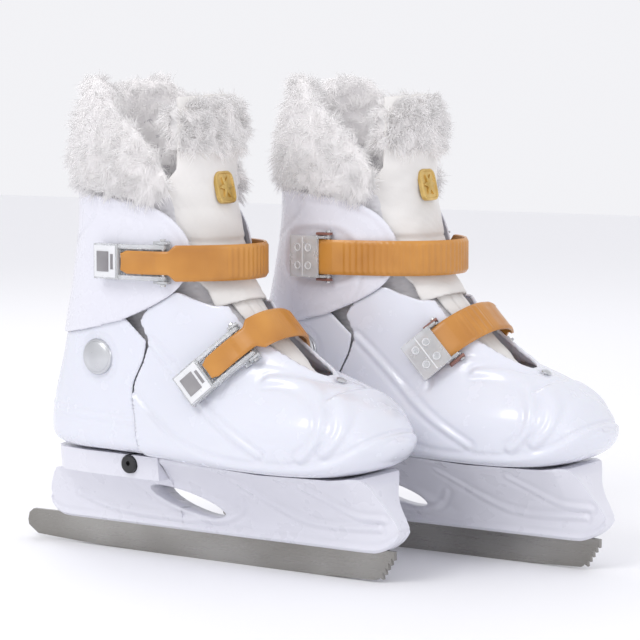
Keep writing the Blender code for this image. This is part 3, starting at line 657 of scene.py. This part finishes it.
SOLE_U = (105.8, 145.0, 190.0, 240.0, 252.0)
SOLE_Z = (70.7, 69.1, 68.0, 68.0, 69.3)
HOLDER_REAR = ((-8, 29, 37), (-7, 25.5, 42), (-3, 21.5, 49.0), (2, 19.6, 53.5), (8, 19.1, 55.0))
HOLDER_FRONT = ((252, 19.1, 69.5), (258, 19.4, 69.0), (262, 20.4, 64.0), (265, 21.6, 56.0))
HOLDER_FRONT += ((269, 23.6, 49.0), (274, 27.5, 42.0), (277, 31.5, 36.5))
HEEL_STEP = 105.8
WINDOW = (113.0, 40.0, 30.0, 7.2)
WINDOW_LEAN = (0.23, 0.973)
BROW_LINE = ((160, 60), (205, 36), (262, 35.5))
FRONT_RECESS = ((214, 60), (244, 44), (266, 42))
REAR_SWEEP = ((20, 36), (45, 29.5), (85, 27), (128, 27.5), (150, 33), (160, 44))


def window_distance(u, z):
    """Roughly the distance outside the window's edge, negative in it."""
    a, b, long_, short = WINDOW
    lean, level = WINDOW_LEAN
    x = (u - a) * level - (z - b) * lean
    y = (u - a) * lean + (z - b) * level
    return (np.hypot(x / long_, y / short) - 1) * short


def holder_half(u, z):
    foot = np.interp(u, (-8, 6, 100, 190, 250, 266, 278), (14, 26, 31, 38, 30, 17, 7))
    t = np.clip((z - 22.0) / 46.0, 0.0, 1.0)
    return 6.0 + (foot - 6.0) * t**2.2


def holder_detail(u, z, low):
    """Lip along the blade, rolled window rim, and the hollows that run up into the sole."""
    out = 0.7 * bump(z - low - 2.0, 1.6) - 0.5 * bump(z - low - 5.0, 1.4)
    rim = window_distance(u, z)
    out = out + 0.9 * bump(rim - 1.5, 1.6) - 0.7 * bump(rim - 5.0, 2.0)
    for line, height in ((BROW_LINE, 0.9), (FRONT_RECESS, 0.9), (REAR_SWEEP, 0.7)):
        gap = line_distance(u, z, catmull(line, 40))
        out = out + height * bump(gap, 1.7) - height * bump(gap - 3.4, 1.6)
    return out


def holder_bounds(u):
    """Bottom and top height of the holder at u."""
    rear, front = np.array(HOLDER_REAR), np.array(HOLDER_FRONT)
    table = rear if u < 100 else front
    low = np.interp(u, table[:, 0], table[:, 1])
    if u < HEEL_STEP:
        return low, np.interp(u, rear[:, 0], rear[:, 2])
    if u < SOLE_U[-1]:
        return low, np.interp(u, SOLE_U, SOLE_Z)
    return low, np.interp(u, front[:, 0], front[:, 2])


def holder_ring(u):
    """Cross-section of the holder at u, with its mouldings fading out at top and bottom."""
    low, high = holder_bounds(u)
    z = low + (high - low) * np.linspace(0, 1, 46)
    fade = step(z, low, low + 1.5) * step(-z, -high, -high + 2.0)
    half = holder_half(u, z) + holder_detail(np.full_like(z, u), z, low) * fade
    half = half - 1.0 * (1 - step(z, low - 0.1, low + 1.6))
    near = np.stack([np.full_like(z, u), -half, z], 1)
    return np.concatenate([near, near[::-1] * (1, -1, 1)])


def window_outline():
    u, z, long_, short = WINDOW
    angle = np.linspace(0, 2 * math.pi, 64, endpoint=False)
    along, across = long_ * np.cos(angle), short * np.sin(angle)
    lean, level = WINDOW_LEAN
    return np.stack([u + along * level + across * lean, z - along * lean + across * level], 1)


def make_holder(pre, left):
    us = [np.linspace(-8, 8, 18), np.linspace(9, HEEL_STEP - 0.2, 80)]
    us += [np.linspace(HEEL_STEP, SOLE_U[-1], 110), np.linspace(253, 277, 26)]
    rings = [holder_ring(u) for u in np.concatenate(us)]
    body = make(pre + "runner_holder", *loft(rings), left, HOLDER, 40)
    prism = [[(u, w, z) for u, z in window_outline()] for w in (-60, 60)]
    hole = make("window_cutter", *loft(prism), left, HOLDER)
    change = body.modifiers.new("window", "BOOLEAN")
    change.object = hole
    change.solver = "MANIFOLD"
    finished = evaluated_mesh(body)
    body.modifiers.clear()
    body.data = finished
    bpy.data.objects.remove(hole)
    place(body, pre + "chassis", pre + "blade_holder", "holder_plastic")


def evaluated_mesh(obj):
    bpy.context.view_layer.update()
    graph = bpy.context.evaluated_depsgraph_get()
    return bpy.data.meshes.new_from_object(obj.evaluated_get(graph))


# ---- liner, tongue and insole


def liner_region(u, w, z):
    boot = [(-30, 60), (320, 60), (320, 130), (232, 131), (175, 180), (150, 196), (136, 214), (126, 226)]
    outline = boot + list(RIM[::-1]) + [(-30, 301)]
    return inside_distance(u, z, outline)


def wrinkles(size):
    def detail(u, w, z):
        a = np.sin(u * 0.31 + 1.7 * np.sin(z * 0.09)) * np.sin(z * 0.23 + w * 0.11)
        return size * a + 0.4 * size * np.sin(u * 0.9 + w * 0.7) * np.sin(z * 0.8)
    return detail


def make_liner(pre, left):
    depth = np.interp(S_OF_ROW, (3.0, 4.6), (3.2, LINER_OUT))
    liner = make(pre + "liner", *layer(depth, wrinkles(0.3), liner_region, slice(None, None, 2)), left, LINER)
    thick(liner, 4.0)
    liner.data = evaluated_mesh(liner)
    liner.modifiers.clear()
    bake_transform(liner)
    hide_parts(pre + "liner_boot", pre + "liner_collar")


def low_tongue_region(u, w, z):
    outline = [(150, 150), (175, 132), (200, 112), (228, 112), (205, 155), (180, 178), (160, 184), (148, 172)]
    plan = ((213, 2.5), (203, 10), (188, 15.5), (165, 20), (140, 22))
    return np.minimum(inside_distance(u, z, outline), inside_distance(u, w, both_sides(plan)))


def low_tongue_detail(u, w, z):
    """Two sewn channels along the tongue."""
    return 0.8 - 1.0 * bump(np.abs(w) - 6.5, 1.0) + wrinkles(0.2)(u, w, z)


def high_tongue_region(u, w, z):
    outline = [(150, 172), (172, 184), (165, 230), (160, 308), (100, 308), (104, 286), (112, 262)]
    outline += [(120, 235), (126, 200)]
    half = np.interp(z, (185, 215, 245, 262), (30, 44, 44, 35))
    return np.minimum(inside_distance(u, z, outline), half - np.abs(w))


def high_tongue_detail(u, w, z):
    """Quilted cross channels below the badge."""
    return 0.6 - 0.9 * bump(((z - 182) % 22) - 11, 1.4) * step(240 - z, 0, 10) + wrinkles(0.35)(u, w, z)


def front_row(z):
    """Row of the boot whose front point is nearest to height z."""
    return int(np.abs(BOOT[:ROWS, 0, 2] - z).argmin())


def lean_forward(points):
    """The tongue's top stands forward of the shin."""
    points = points.copy()
    points[:, 0] += TONGUE_LEAN * step(points[:, 2], 236, 312)
    points[:, 2] += 3 * step(points[:, 2], 250, 305) * (1 - (points[:, 1] / 36) ** 2)
    return points


def make_tongues(pre, left):
    low = make(pre + "lower_tongue", *layer(7.6, low_tongue_detail, low_tongue_region), left, LEATHER)
    thick(low, 4.0)
    place(low, pre + "heel", pre + "tongue_lower", "tongue_leather")
    points, faces = layer(4.0, high_tongue_detail, high_tongue_region)
    high = make(pre + "upper_tongue", lean_forward(points), faces, left, LEATHER)
    thick(high, 6.0)
    place(high, pre + "cuff", pre + "tongue_upper", "tongue_leather")
    insole = make(pre + "footbed", *footbed(), left, INSOLE)
    place(insole, pre + "heel", pre + "insole", "insole_foam")


def footbed():
    """Flat pad with a rounded rim, on the liner's floor."""
    table = ((24, 6), (30, 11), (42, 14), (65, 15), (100, 18), (140, 22), (180, 25), (206, 23))
    table += ((222, 17), (230, 9))
    side = catmull(table, 60)
    ring = np.concatenate([side, side[::-1] * (1, -1)])
    middle = np.array([128.0, 0.0])
    rings = []
    for inset, z in ((0.5, 87.9), (0.98, 87.9), (1.0, 88.6), (1.0, 90.2), (0.98, 90.9), (0.5, 91.0)):
        line = middle + (ring - middle) * inset
        rings.append([(u, w, z) for u, w in line])
    return loft(rings)


# ---- fur


def strands(rng, roots, normals, flow, count, length, width):
    """Tapered, bent hairs as narrow ribbons, gathered in tufts that share a direction."""
    pick = rng.integers(0, len(roots), count)
    p = roots[pick] + rng.normal(0, 0.5, (count, 3))
    n = normals[pick]
    tuft = np.floor(p / TUFT).astype(int)
    key = (tuft * (73, 179, 283)).sum(1) % TUFT_KINDS
    table = rng.normal(0, 1, (TUFT_KINDS, 3))
    way = n * 0.75 + flow * 0.45 + table[key] * 0.38 + rng.normal(0, 0.22, (count, 3))
    way /= np.linalg.norm(way, axis=1, keepdims=True)
    sag = np.array([0.0, 0.0, -0.35]) + table[key] * 0.25 + rng.normal(0, 0.2, (count, 3))
    long_ = length * rng.uniform(0.55, 1.25, (count, 1))
    side = np.cross(way, rng.normal(0, 1, (count, 3)))
    side /= np.linalg.norm(side, axis=1, keepdims=True)
    facing = n + way * 0.25 + (0, 0, 0.25)
    turned_away = (np.cross(side, way + sag) * facing).sum(1) < 0
    side[turned_away] *= -1
    points = []
    for t, share in ((0, 1.0), (0.4, 0.9), (0.75, 0.6)):
        middle = p + way * long_ * t + sag * long_ * t * t
        points += [middle - side * width * share / 2, middle + side * width * share / 2]
    points.append(p + way * long_ + sag * long_)
    points = np.stack(points, 1).reshape(-1, 3)
    facing = np.repeat(facing, 7, axis=0)
    base = np.arange(count)[:, None] * 7
    quads = np.concatenate([base + (0, 1, 3, 2), base + (2, 3, 5, 4)])
    tips = base + (4, 5, 6)
    return points, [tuple(f) for f in quads.tolist()] + [tuple(f) for f in tips.tolist()], facing


def make_fur(name, base, hairs, left):
    """Fur piece whose hairs are lit like the soft pile they stand in."""
    fur = make(name, *merged(base, hairs[:2]), left, FUR_PAINTED_GLOW)
    plain = np.array([tuple(v.normal) for v in fur.data.vertices[: len(base[0])]])
    facing = to_world(hairs[2], left) - to_world(np.zeros((1, 3)), left)
    facing /= np.linalg.norm(facing, axis=1, keepdims=True)
    fur.data.normals_split_custom_set_from_vertices(np.concatenate([plain, facing]).tolist())
    return fur


def crossing(values):
    """Fractional row where a column of values first turns negative from its start."""
    below = np.nonzero(values < 0)[0]
    if not len(below) or below[0] == 0:
        return None
    k = below[0]
    return k - 1 + values[k - 1] / (values[k - 1] - values[k])


def boot_at(row, column):
    k = int(np.clip(row, 0, ROWS - 2))
    t = row - k
    place = BOOT[k, column] * (1 - t) + BOOT[k + 1, column] * t
    return place, NORMAL[k, column]


def collar_ring(column):
    """Cross-section of the folded fur collar at one column, from its lower edge over the rim and inside."""
    line = BOOT[:ROWS, column]
    rim = np.interp(line[:, 0], [p[0] for p in RIM], [p[1] for p in RIM])
    low = np.interp(line[:, 0], [p[0] for p in FUR_LOW], [p[1] for p in FUR_LOW])
    start, end = crossing(line[:, 2] - rim), crossing(line[:, 2] - low)
    if start is None or end is None or end - start < 3:
        return None
    full = min(1.0, (end - start) / 22)
    ring, out = [], []
    for t in np.linspace(0, 1, 22):
        place, normal = boot_at(end + (start - end) * t, column)
        bulge = 2.0 + 5.0 * full * math.sin(math.pi * min(t * 1.15, 1)) ** 0.6
        ring.append(place + normal * bulge)
        out.append(normal * 0.9 + np.array([0, 0, -0.5 + 1.2 * t]))
    top, normal = boot_at(start, column)
    for angle in np.linspace(0.3, math.pi - 0.3, 7):
        lift = np.array([0, 0, 5.0 * full * math.sin(angle)])
        ring.append(top + normal * (-3.5 + 5.5 * math.cos(angle)) + lift)
        out.append(normal * math.cos(angle) + np.array([0, 0, math.sin(angle)]))
    for t in np.linspace(0, 1, 12):
        place, normal = boot_at(start + (end - start) * t * 0.8, column)
        ring.append(place - normal * (9.0 - 2.5 * t))
        out.append(-normal * 0.8 + np.array([0, 0, 0.3 - 0.5 * t]))
    return np.array(ring), np.array(out)


def lumps(points, size):
    a = np.sin(points[..., 0] * 0.42 + 1.3 * np.sin(points[..., 2] * 0.2))
    b = np.sin(points[..., 1] * 0.38 + 0.9) * np.sin(points[..., 2] * 0.5 + points[..., 0] * 0.13)
    return size * (a * 0.5 + b * 0.8)


def make_collar_fur(pre, left, seed):
    """Fur folded over the collar's rim, open at the front where the tongue stands."""
    rng = np.random.default_rng(seed)
    found = [collar_ring(c) for c in range(COLS)]
    order = [c for c in range(1, COLS) if found[c] is not None]
    points = np.array([found[c][0] for c in order])
    ways = np.array([found[c][1] for c in order])
    ways /= np.linalg.norm(ways, axis=2, keepdims=True)
    points = points + ways * lumps(points, 1.0)[..., None]
    base = loft(points)
    flow = np.array([0, 0, -0.8])
    hairs = strands(rng, points.reshape(-1, 3), ways.reshape(-1, 3), flow, *COLLAR_HAIRS)
    fur = make_fur(pre + "collar_fur", base, hairs, left)
    place(fur, pre + "cuff", None, "fur")


def tongue_top(rows, cols):
    """Grid of points over the front of the tongue's top."""
    points = []
    for z in np.linspace(TONGUE_FUR_FROM, TONGUE_FUR_TO, rows):
        k = front_row(z)
        for w in np.linspace(-TONGUE_FUR_HALF, TONGUE_FUR_HALF, cols):
            column = int(np.abs(BOOT[k, : COLS // 4, 1] - abs(w)).argmin())
            column = column if w >= 0 else (COLS - column) % COLS
            points.append(BOOT[k, column] - NORMAL[k, column] * 3.6)
    return lean_forward(np.array(points)).reshape(rows, cols, 3)


def make_tongue_fur(pre, left, seed):
    """Fur over the top and edges of the tongue, on both faces."""
    rng = np.random.default_rng(seed)
    front = tongue_top(rows=30, cols=44)
    rise = np.linspace(0, 1, 30)[:, None]
    edge = np.abs(np.linspace(-1, 1, 44))[None, :]
    front[..., 2] -= 9 * edge**4 * rise
    swell = (1 - edge**6) * np.sin(math.pi * np.clip(rise * 0.85 + 0.15, 0, 1)) ** 0.5
    outer = front + np.array([3.5, 0, 0]) * np.clip(swell, 0, 1)[..., None]
    inner = front[::-1] - np.array([8.5, 0, 0])
    loop = np.concatenate([outer, inner]).transpose(1, 0, 2)
    base = loft(loop)
    ahead = np.broadcast_to((0.8, 0, 0.1), outer.shape)
    behind = np.broadcast_to((-0.8, 0, 0.2), inner.shape)
    ways = np.concatenate([ahead, behind]).transpose(1, 0, 2).copy()
    ways[:, 20:40, 2] += 0.7
    ways[..., 1] += np.linspace(-0.8, 0.8, 44)[:, None] ** 3
    flow = np.array([0, 0, -0.2])
    hairs = strands(rng, loop.reshape(-1, 3), ways.reshape(-1, 3), flow, *TONGUE_HAIRS)
    fur = make_fur(pre + "tongue_fur", base, hairs, left)
    place(fur, pre + "cuff", None, "fur")


# ---- straps and buckles


class Wrap:
    """Strap path: where a plane across the skate meets the boot, with its width direction."""

    def __init__(self, surface, centre, slope, lift):
        self.ahead = np.array([math.cos(slope), 0, math.sin(slope)])
        self.across = np.array([-math.sin(slope), 0, math.cos(slope)])
        reach, ways = [], []
        for a in np.radians(np.linspace(-150, 150, 121)):
            way = self.ahead * math.cos(a) + np.array([0, math.sin(a), 0])
            ways.append(way)
            gaps = []
            for k in (-STRAP_HALF, 0.0, STRAP_HALF):
                start = Vector(np.array(centre) + self.across * k)
                gaps.append((surface.ray_cast(start, Vector(way))[0] - start).length)
            reach.append(max(gaps))
        reach = np.convolve(np.pad(reach, 3, mode="edge"), np.ones(7) / 7, mode="valid") + lift
        self.points = np.array(centre) + np.array(ways) * reach[:, None]
        run = np.cumsum(np.linalg.norm(np.diff(self.points, axis=0), axis=1))
        self.length = np.concatenate([[0], run])
        self.length -= self.length[60]
        self.middle = self.points.mean(0)

    def path(self, distance):
        return np.array([np.interp(distance, self.length, self.points[:, c]) for c in range(3)])

    def at(self, distance, across, out):
        place = self.path(distance)
        along = self.path(distance + 2.5) - self.path(distance - 2.5)
        normal = np.cross(self.across, along / np.linalg.norm(along))
        outward_ = self.ahead * (place - self.middle).dot(self.ahead) + np.array([0, place[1], 0])
        if normal.dot(outward_) < 0:
            normal = -normal
        return place + self.across * across + normal * out

    def distance_of(self, u, side):
        run = np.arange(0, 150, 0.5)
        return side * run[int(np.abs([self.path(side * d)[0] - u for d in run]).argmin())]


def block(wrap, d0, d1, a0, a1, o0, o1, parts=12):
    rings = []
    for d in np.linspace(d0, d1, parts + 1):
        rings.append([wrap.at(d, a0, o0), wrap.at(d, a1, o0), wrap.at(d, a1, o1), wrap.at(d, a0, o1)])
    return loft(rings)


# Blocks of the buckles: from and to along the strap, low and high across it, low and high out from it
BUCKLE_BASE = ((-44, -5, -9.5, 9.5, 0.3, 1.6), (-8, 4, -13.8, 13.8, 0.3, 1.6))
BUCKLE_LEVER = ((-LEVER_LENGTH, -30.5, -11.6, 11.6, 2.3, 7.6),)
BUCKLE_GRIP = ((-49, -32, -10.4, 10.4, 7.3, 8.1),)
BUCKLE_INLAY = ((-46.5, -37, -6.6, 6.6, 8.0, 8.5), (-35.5, -33.5, -5, 5, 8.0, 8.35))
ANCHOR_SEAT = ((4.5, ANCHOR_LENGTH, -12, 12, 0.3, 1.5), (4, 9, -16.2, 16.2, 0.3, 1.5))
ANCHOR_COVER = ((4.6, ANCHOR_LENGTH, -14, 14, 6.3, 8.6),)


def blocks(wrap, start, table):
    return [block(wrap, start + a, start + b, *rest) for a, b, *rest in table]


def strap_mesh(wrap, pin, hook):
    """Narrow tongue, smooth plate with an inset border, then close cross ribs to the anchor."""
    marks = [pin - 29, pin - 22, pin - 12, pin, pin + 3.6, pin + 5.0, pin + 12, pin + 20, pin + 28]
    marks += list(np.linspace(pin + 38, hook - 20, 10)) + [hook - 12, hook - 5, hook, hook + 9, hook + 18]
    lows = [4.4, 4.8, 5.5, 5.9, 5.9, 5.8, 4.6, 2.9, 1.4] + [1.0] * 10 + [2.0, 3.3, 3.5, 3.5, 3.5]
    rings = []
    rib_from, rib_to = pin + 38, hook - 10
    across = np.linspace(-1, 1, 21)
    flank = np.clip((np.abs(across) - 0.8) / 0.2, 0, 1) ** 2
    for d in np.linspace(marks[0], marks[-1], 520):
        half = TONGUE_HALF + (STRAP_HALF - TONGUE_HALF) * step(d, pin + 3.6, pin + 9.0)
        half -= 1.8 * step(pin - 24 - d, 0, 5)
        low = np.interp(d, marks, lows)
        ribs = step(d, rib_from, rib_from + 3) * step(-d, -rib_to, -rib_to + 3)
        rib = ribs * RIB_HEIGHT * (0.5 + 0.5 * math.cos((d - rib_from) * 2 * math.pi / RIB_PITCH))
        hollow = 0.9 * step(pin - 3 - d, 0, 4)
        plate = step(d, pin + 9, pin + 12) * step(-d, -(pin + 34), -(pin + 30))
        inset = -0.35 * plate * step(0.78 - np.abs(across), 0, 0.08)
        top = low + STRAP_T + rib * (np.abs(across) < 0.84) - 0.9 * flank
        top = top + inset - hollow * (1 - across**2)
        line = [wrap.at(d, a * half, o) for a, o in zip(across, top)]
        line += [wrap.at(d, a * half, low) for a in (0.97, 0.0, -0.97)]
        rings.append(line)
    return loft(rings)


STRAP_BODIES = {"upper_": "cuff", "lower_": "chassis"}


def make_buckle(pre, key, wrap, pin, left):
    """Clear riveted base with two ears, and the lever with its frosted grip and grey inlay."""
    pair = pre + key
    lever_body = pair + "buckle_lever"
    base = blocks(wrap, pin, BUCKLE_BASE)
    lever = blocks(wrap, pin, BUCKLE_LEVER)
    centre = wrap.at(pin, 0, PIN_O)
    for side in (-1, 1):
        base.append(block(wrap, pin - 3.4, pin + 3.4, *sorted((side * 12.0, side * 13.8)), 0.9, 6.9, 4))
        lever.append(block(wrap, pin - 32.4, pin + 0.5, *sorted((side * 8.7, side * 11.6)), 2.3, 6.8))
        eye = centre + wrap.across * side * 10.15
        lever.append(turned(eye, wrap.across, ((-1.45, 2.0), (-1.2, 2.4), (1.2, 2.4), (1.45, 2.0)), 32))
    lever.append(block(wrap, pin - 17, pin - 14.6, -9, 9, 3.0, 5.2, 3))
    base = make(pair + "clasp_base", *merged(*base), left, CLEAR, 35)
    lever = make(pair + "clasp_lever", *merged(*lever), left, CLEAR, 35)
    rear = make(pair + "clasp_grip", *merged(*blocks(wrap, pin, BUCKLE_GRIP)), left, FROST, 35)
    inlay = make(pair + "clasp_inlay", *merged(*blocks(wrap, pin, BUCKLE_INLAY)), left, GREY, 35)
    for obj, radius in ((base, 0.35), (lever, 0.6), (rear, 0.3), (inlay, 0.15)):
        rounded(obj, radius)
    place(base, pre + STRAP_BODIES[key], pair + "buckle_base", "clear_plastic")
    place(lever, lever_body, lever_body, "clear_plastic")
    place(rear, lever_body, None, "clear_plastic")
    place(inlay, lever_body, None, "anchor_base_plastic")


def make_anchor(pre, key, wrap, hook, left):
    """Seat with two ears, and the clear cover with four rings and a step line on it."""
    pair = pre + key
    base = blocks(wrap, hook, ANCHOR_SEAT)
    cover = blocks(wrap, hook, ANCHOR_COVER)
    centre = wrap.at(hook, 0, 2.2)
    for side in (-1, 1):
        base.append(block(wrap, hook - 2.6, hook + 8, *sorted((side * 14.5, side * 16.2)), 0.3, 4.9, 4))
        cover.append(block(wrap, hook - 0.4, hook + 9.5, *sorted((side * 12.3, side * 14.0)), 1.9, 7.6, 5))
        eye = centre + wrap.across * side * 13.15
        cover.append(turned(eye, wrap.across, ((-0.85, 1.6), (-0.6, 1.9), (0.6, 1.9), (0.85, 1.6)), 28))
    dots = []
    for d in (11.5, 20.0):
        for a in (-6.0, 6.0):
            spot = wrap.at(hook + d, a, 8.55)
            way = wrap.at(hook + d, a, 9.55) - spot
            profile = ((-0.3, 2.7), (0.35, 2.7), (0.5, 2.4), (0.1, 2.0), (-0.3, 1.6))
            dots.append(turned(spot, way, profile, 32))
    dots.append(block(wrap, hook + 15.4, hook + 16.2, -13, 13, 8.4, 8.95, 2))
    base = make(pair + "strap_seat", *merged(*base), left, RECESS, 35)
    cover = make(pair + "strap_cover", *merged(*cover), left, CLEAR, 35)
    dots = make(pair + "cover_rings", *merged(*dots), left, FROST, 35)
    rounded(base, 0.3)
    rounded(cover, 0.6)
    place(base, pre + STRAP_BODIES[key], pair + "anchor_base", "anchor_base_plastic")
    place(cover, pair + "anchor_lever", pair + "anchor_lever", "clear_plastic")
    place(dots, pair + "anchor_lever", None, "clear_plastic")


def make_straps(pre, left, surface):
    lower_u, lower_z = LOWER_STRAP
    paths = {
        "upper_": (Wrap(surface, (UPPER_MIDDLE, 0, STRAP_Z), 0.0, 2.5), *UPPER_PINS),
        "lower_": (Wrap(surface, (lower_u, 0, lower_z), math.radians(LOWER_SLOPE), 0.4), *LOWER_PINS),
    }
    for key, (wrap, pin_u, hook_u) in paths.items():
        pin, hook = wrap.distance_of(pin_u, -1), wrap.distance_of(hook_u, 1)
        strap = make(pre + key + "webbing", *strap_mesh(wrap, pin, hook), left, OCHRE, 40)
        place(strap, pre + STRAP_BODIES[key], pre + key + "strap", "strap_plastic")
        make_buckle(pre, key, wrap, pin, left)
        make_anchor(pre, key, wrap, hook, left)


# ---- small parts


def make_rivets(pre, left, surface):
    """Domed caps at the ankle, seated on the widest point of the shell under them."""
    for name, side in (("lateral", -1), ("medial", 1)):
        reach = 0
        for k in range(24):
            angle = 2 * math.pi * k / 24
            for r in (6.0, CAP_R):
                start = Vector((ANKLE[0] + r * math.cos(angle), 0, ANKLE[1] + r * math.sin(angle)))
                reach = max(reach, abs(surface.ray_cast(start, Vector((0, side, 0)))[0].y))
        profile = [(-8, 4.0), (-1.2, 4.0), (-1.2, CAP_R - 0.2), (-0.6, CAP_R + 0.1), (0.5, CAP_R + 0.1)]
        profile += [(1.1, CAP_R - 0.4), (1.2, CAP_R - 1.3)]
        for t in np.linspace(1.5, 0.03, 22):
            profile.append((1.3 + 2.5 * math.cos(t) ** 1.1, (CAP_R - 1.6) * math.sin(t)))
        middle = (ANKLE[0], side * reach, ANKLE[1])
        shape = turned(middle, (0, side, 0), profile, 72)
        cap = make(pre + "ankle_cap_" + name, *shape, left, SATIN, 40)
        place(cap, pre + "heel", pre + "ankle_rivet_" + name, "rivet_metal")


def make_badge(pre, left):
    """Six-pointed gold star on a rimmed, round-cornered plate, at the middle of the tongue."""
    k = front_row(BADGE_Z)
    out = NORMAL[k, 0]
    centre = lean_forward((BOOT[k, 0] + out * 1.2 - 3.6 * out)[None])[0]
    aside = np.array([0, 1, 0])
    up = np.cross(out, aside)
    up = up if up[2] > 0 else -up
    angle = np.linspace(0, 2 * math.pi, 96, endpoint=False)
    rings, star = [], []
    for scale, height in ((1.0, -1.2), (1.0, 1.2), (0.94, 1.8), (0.86, 1.8), (0.82, 1.1), (0.3, 1.1)):
        line = []
        for a in angle:
            c, sn = math.cos(a), math.sin(a)
            across = BADGE_HALF[0] * scale * math.copysign(abs(c) ** BADGE_CORNER, c)
            along = BADGE_HALF[1] * scale * math.copysign(abs(sn) ** BADGE_CORNER, sn)
            line.append(centre + aside * across + up * along + out * height)
        rings.append(line)
    for scale, height in ((1.0, 0.9), (0.92, 2.0), (0.2, 2.5)):
        line = []
        for a in angle:
            r = (3.4 + 3.4 * abs(math.cos(3 * a)) ** 3) * scale
            line.append(centre + aside * r * math.cos(a) + up * r * 1.2 * math.sin(a) + out * height)
        star.append(line)
    badge = make(pre + "badge", *merged(loft(rings), loft(star)), left, GOLD, 35)
    place(badge, pre + "cuff", None, "rivet_metal")


NODE_LOOKS = {
    "blade": STEEL, "heel_base": HOLDER, "size_button": BLACK, "size_spring": SPRING,
    "toe_rivet": SATIN, "upper_buckle_pin": PIN_LOOK, "lower_buckle_pin": PIN_LOOK,
    "upper_anchor_pin": PIN_LOOK, "lower_anchor_pin": PIN_LOOK,
}
EDGES = {"blade": 0.25, "heel_base": 1.2, "size_button": 0.4, "toe_rivet": 0.3}


def dress_nodes(pre):
    for key, look in NODE_LOOKS.items():
        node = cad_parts[pre + key]
        node.data.materials.clear()
        node.data.materials.append(look)
        if key in EDGES:
            rounded(node, EDGES[key])


def build_skate(pre, left, seed, surface):
    make_shells(pre, left)
    make_holder(pre, left)
    make_liner(pre, left)
    make_tongues(pre, left)
    make_collar_fur(pre, left, seed)
    make_tongue_fur(pre, left, seed + 1)
    make_straps(pre, left, surface)
    make_rivets(pre, left, surface)
    make_badge(pre, left)
    dress_nodes(pre)


def search_tree():
    rows = BOOT[: ROWS : 4, ::4]
    faces = [tuple(f) for f in grid_faces(rows.shape[0], rows.shape[1]).tolist()]
    return BVHTree.FromPolygons([tuple(p) for p in rows.reshape(-1, 3).tolist()], faces)


# ---- studio


LIGHTS = (
    ("key", (-1.5, 0.1, 1.6), 0.8, 11),
    ("front", (-0.3, -1.9, 0.8), 0.7, 3),
    ("back", (0.9, 1.2, 1.5), 1.0, 5),
)
WORLD_COLOUR = (0.97, 0.97, 1.0, 1)
WORLD_STRENGTH = 0.92
AIM = Vector((0, 0, 0.15))


def make_floor_and_world():
    bpy.ops.mesh.primitive_plane_add(size=8, location=(0, 0, 0))
    floor = bpy.context.object
    floor.name = "floor"
    floor.data.materials.append(new_look("floor", (0.93, 0.93, 0.95), 0.7))
    world = bpy.data.worlds.new("studio")
    world.use_nodes = True
    sky = world.node_tree.nodes["Background"]
    sky.inputs["Color"].default_value = WORLD_COLOUR
    sky.inputs["Strength"].default_value = WORLD_STRENGTH
    bpy.context.scene.world = world


def make_lights():
    """Large soft lights; each is name, place, size (m) and power (W)."""
    for name, spot, size, power in LIGHTS:
        light = bpy.data.lights.new(name, "AREA")
        light.size = size
        light.energy = power
        obj = bpy.data.objects.new(name, light)
        obj.location = spot
        obj.rotation_euler = (AIM - Vector(spot)).to_track_quat("-Z", "Y").to_euler()
        bpy.context.scene.collection.objects.link(obj)


def make_camera():
    """Camera looking slightly down at the middle of the frame's box, a little to its right."""
    camera = bpy.data.cameras.new("camera")
    camera.sensor_width = 36
    camera.lens = CAMERA_LENS
    obj = bpy.data.objects.new("camera", camera)
    azimuth, elevation = math.radians(CAMERA_AZIMUTH), math.radians(CAMERA_ELEVATION)
    level = math.cos(elevation)
    ahead = Vector((-math.sin(azimuth) * level, math.cos(azimuth) * level, -math.sin(elevation)))
    right = ahead.cross(Vector((0, 0, 1))).normalized()
    middle = (Vector(cad_box[0]) + Vector(cad_box[1])) / 2
    obj.location = middle + right * CAMERA_AIM_RIGHT - ahead * CAMERA_DISTANCE
    obj.rotation_euler = ahead.to_track_quat("-Z", "Y").to_euler()
    bpy.context.scene.collection.objects.link(obj)
    bpy.context.scene.camera = obj


tree = search_tree()
build_skate("right_", False, 11, tree)
build_skate("left_", True, 23, tree)
make_floor_and_world()
make_lights()
make_camera()
bpy.context.scene.view_settings.view_transform = "Standard"
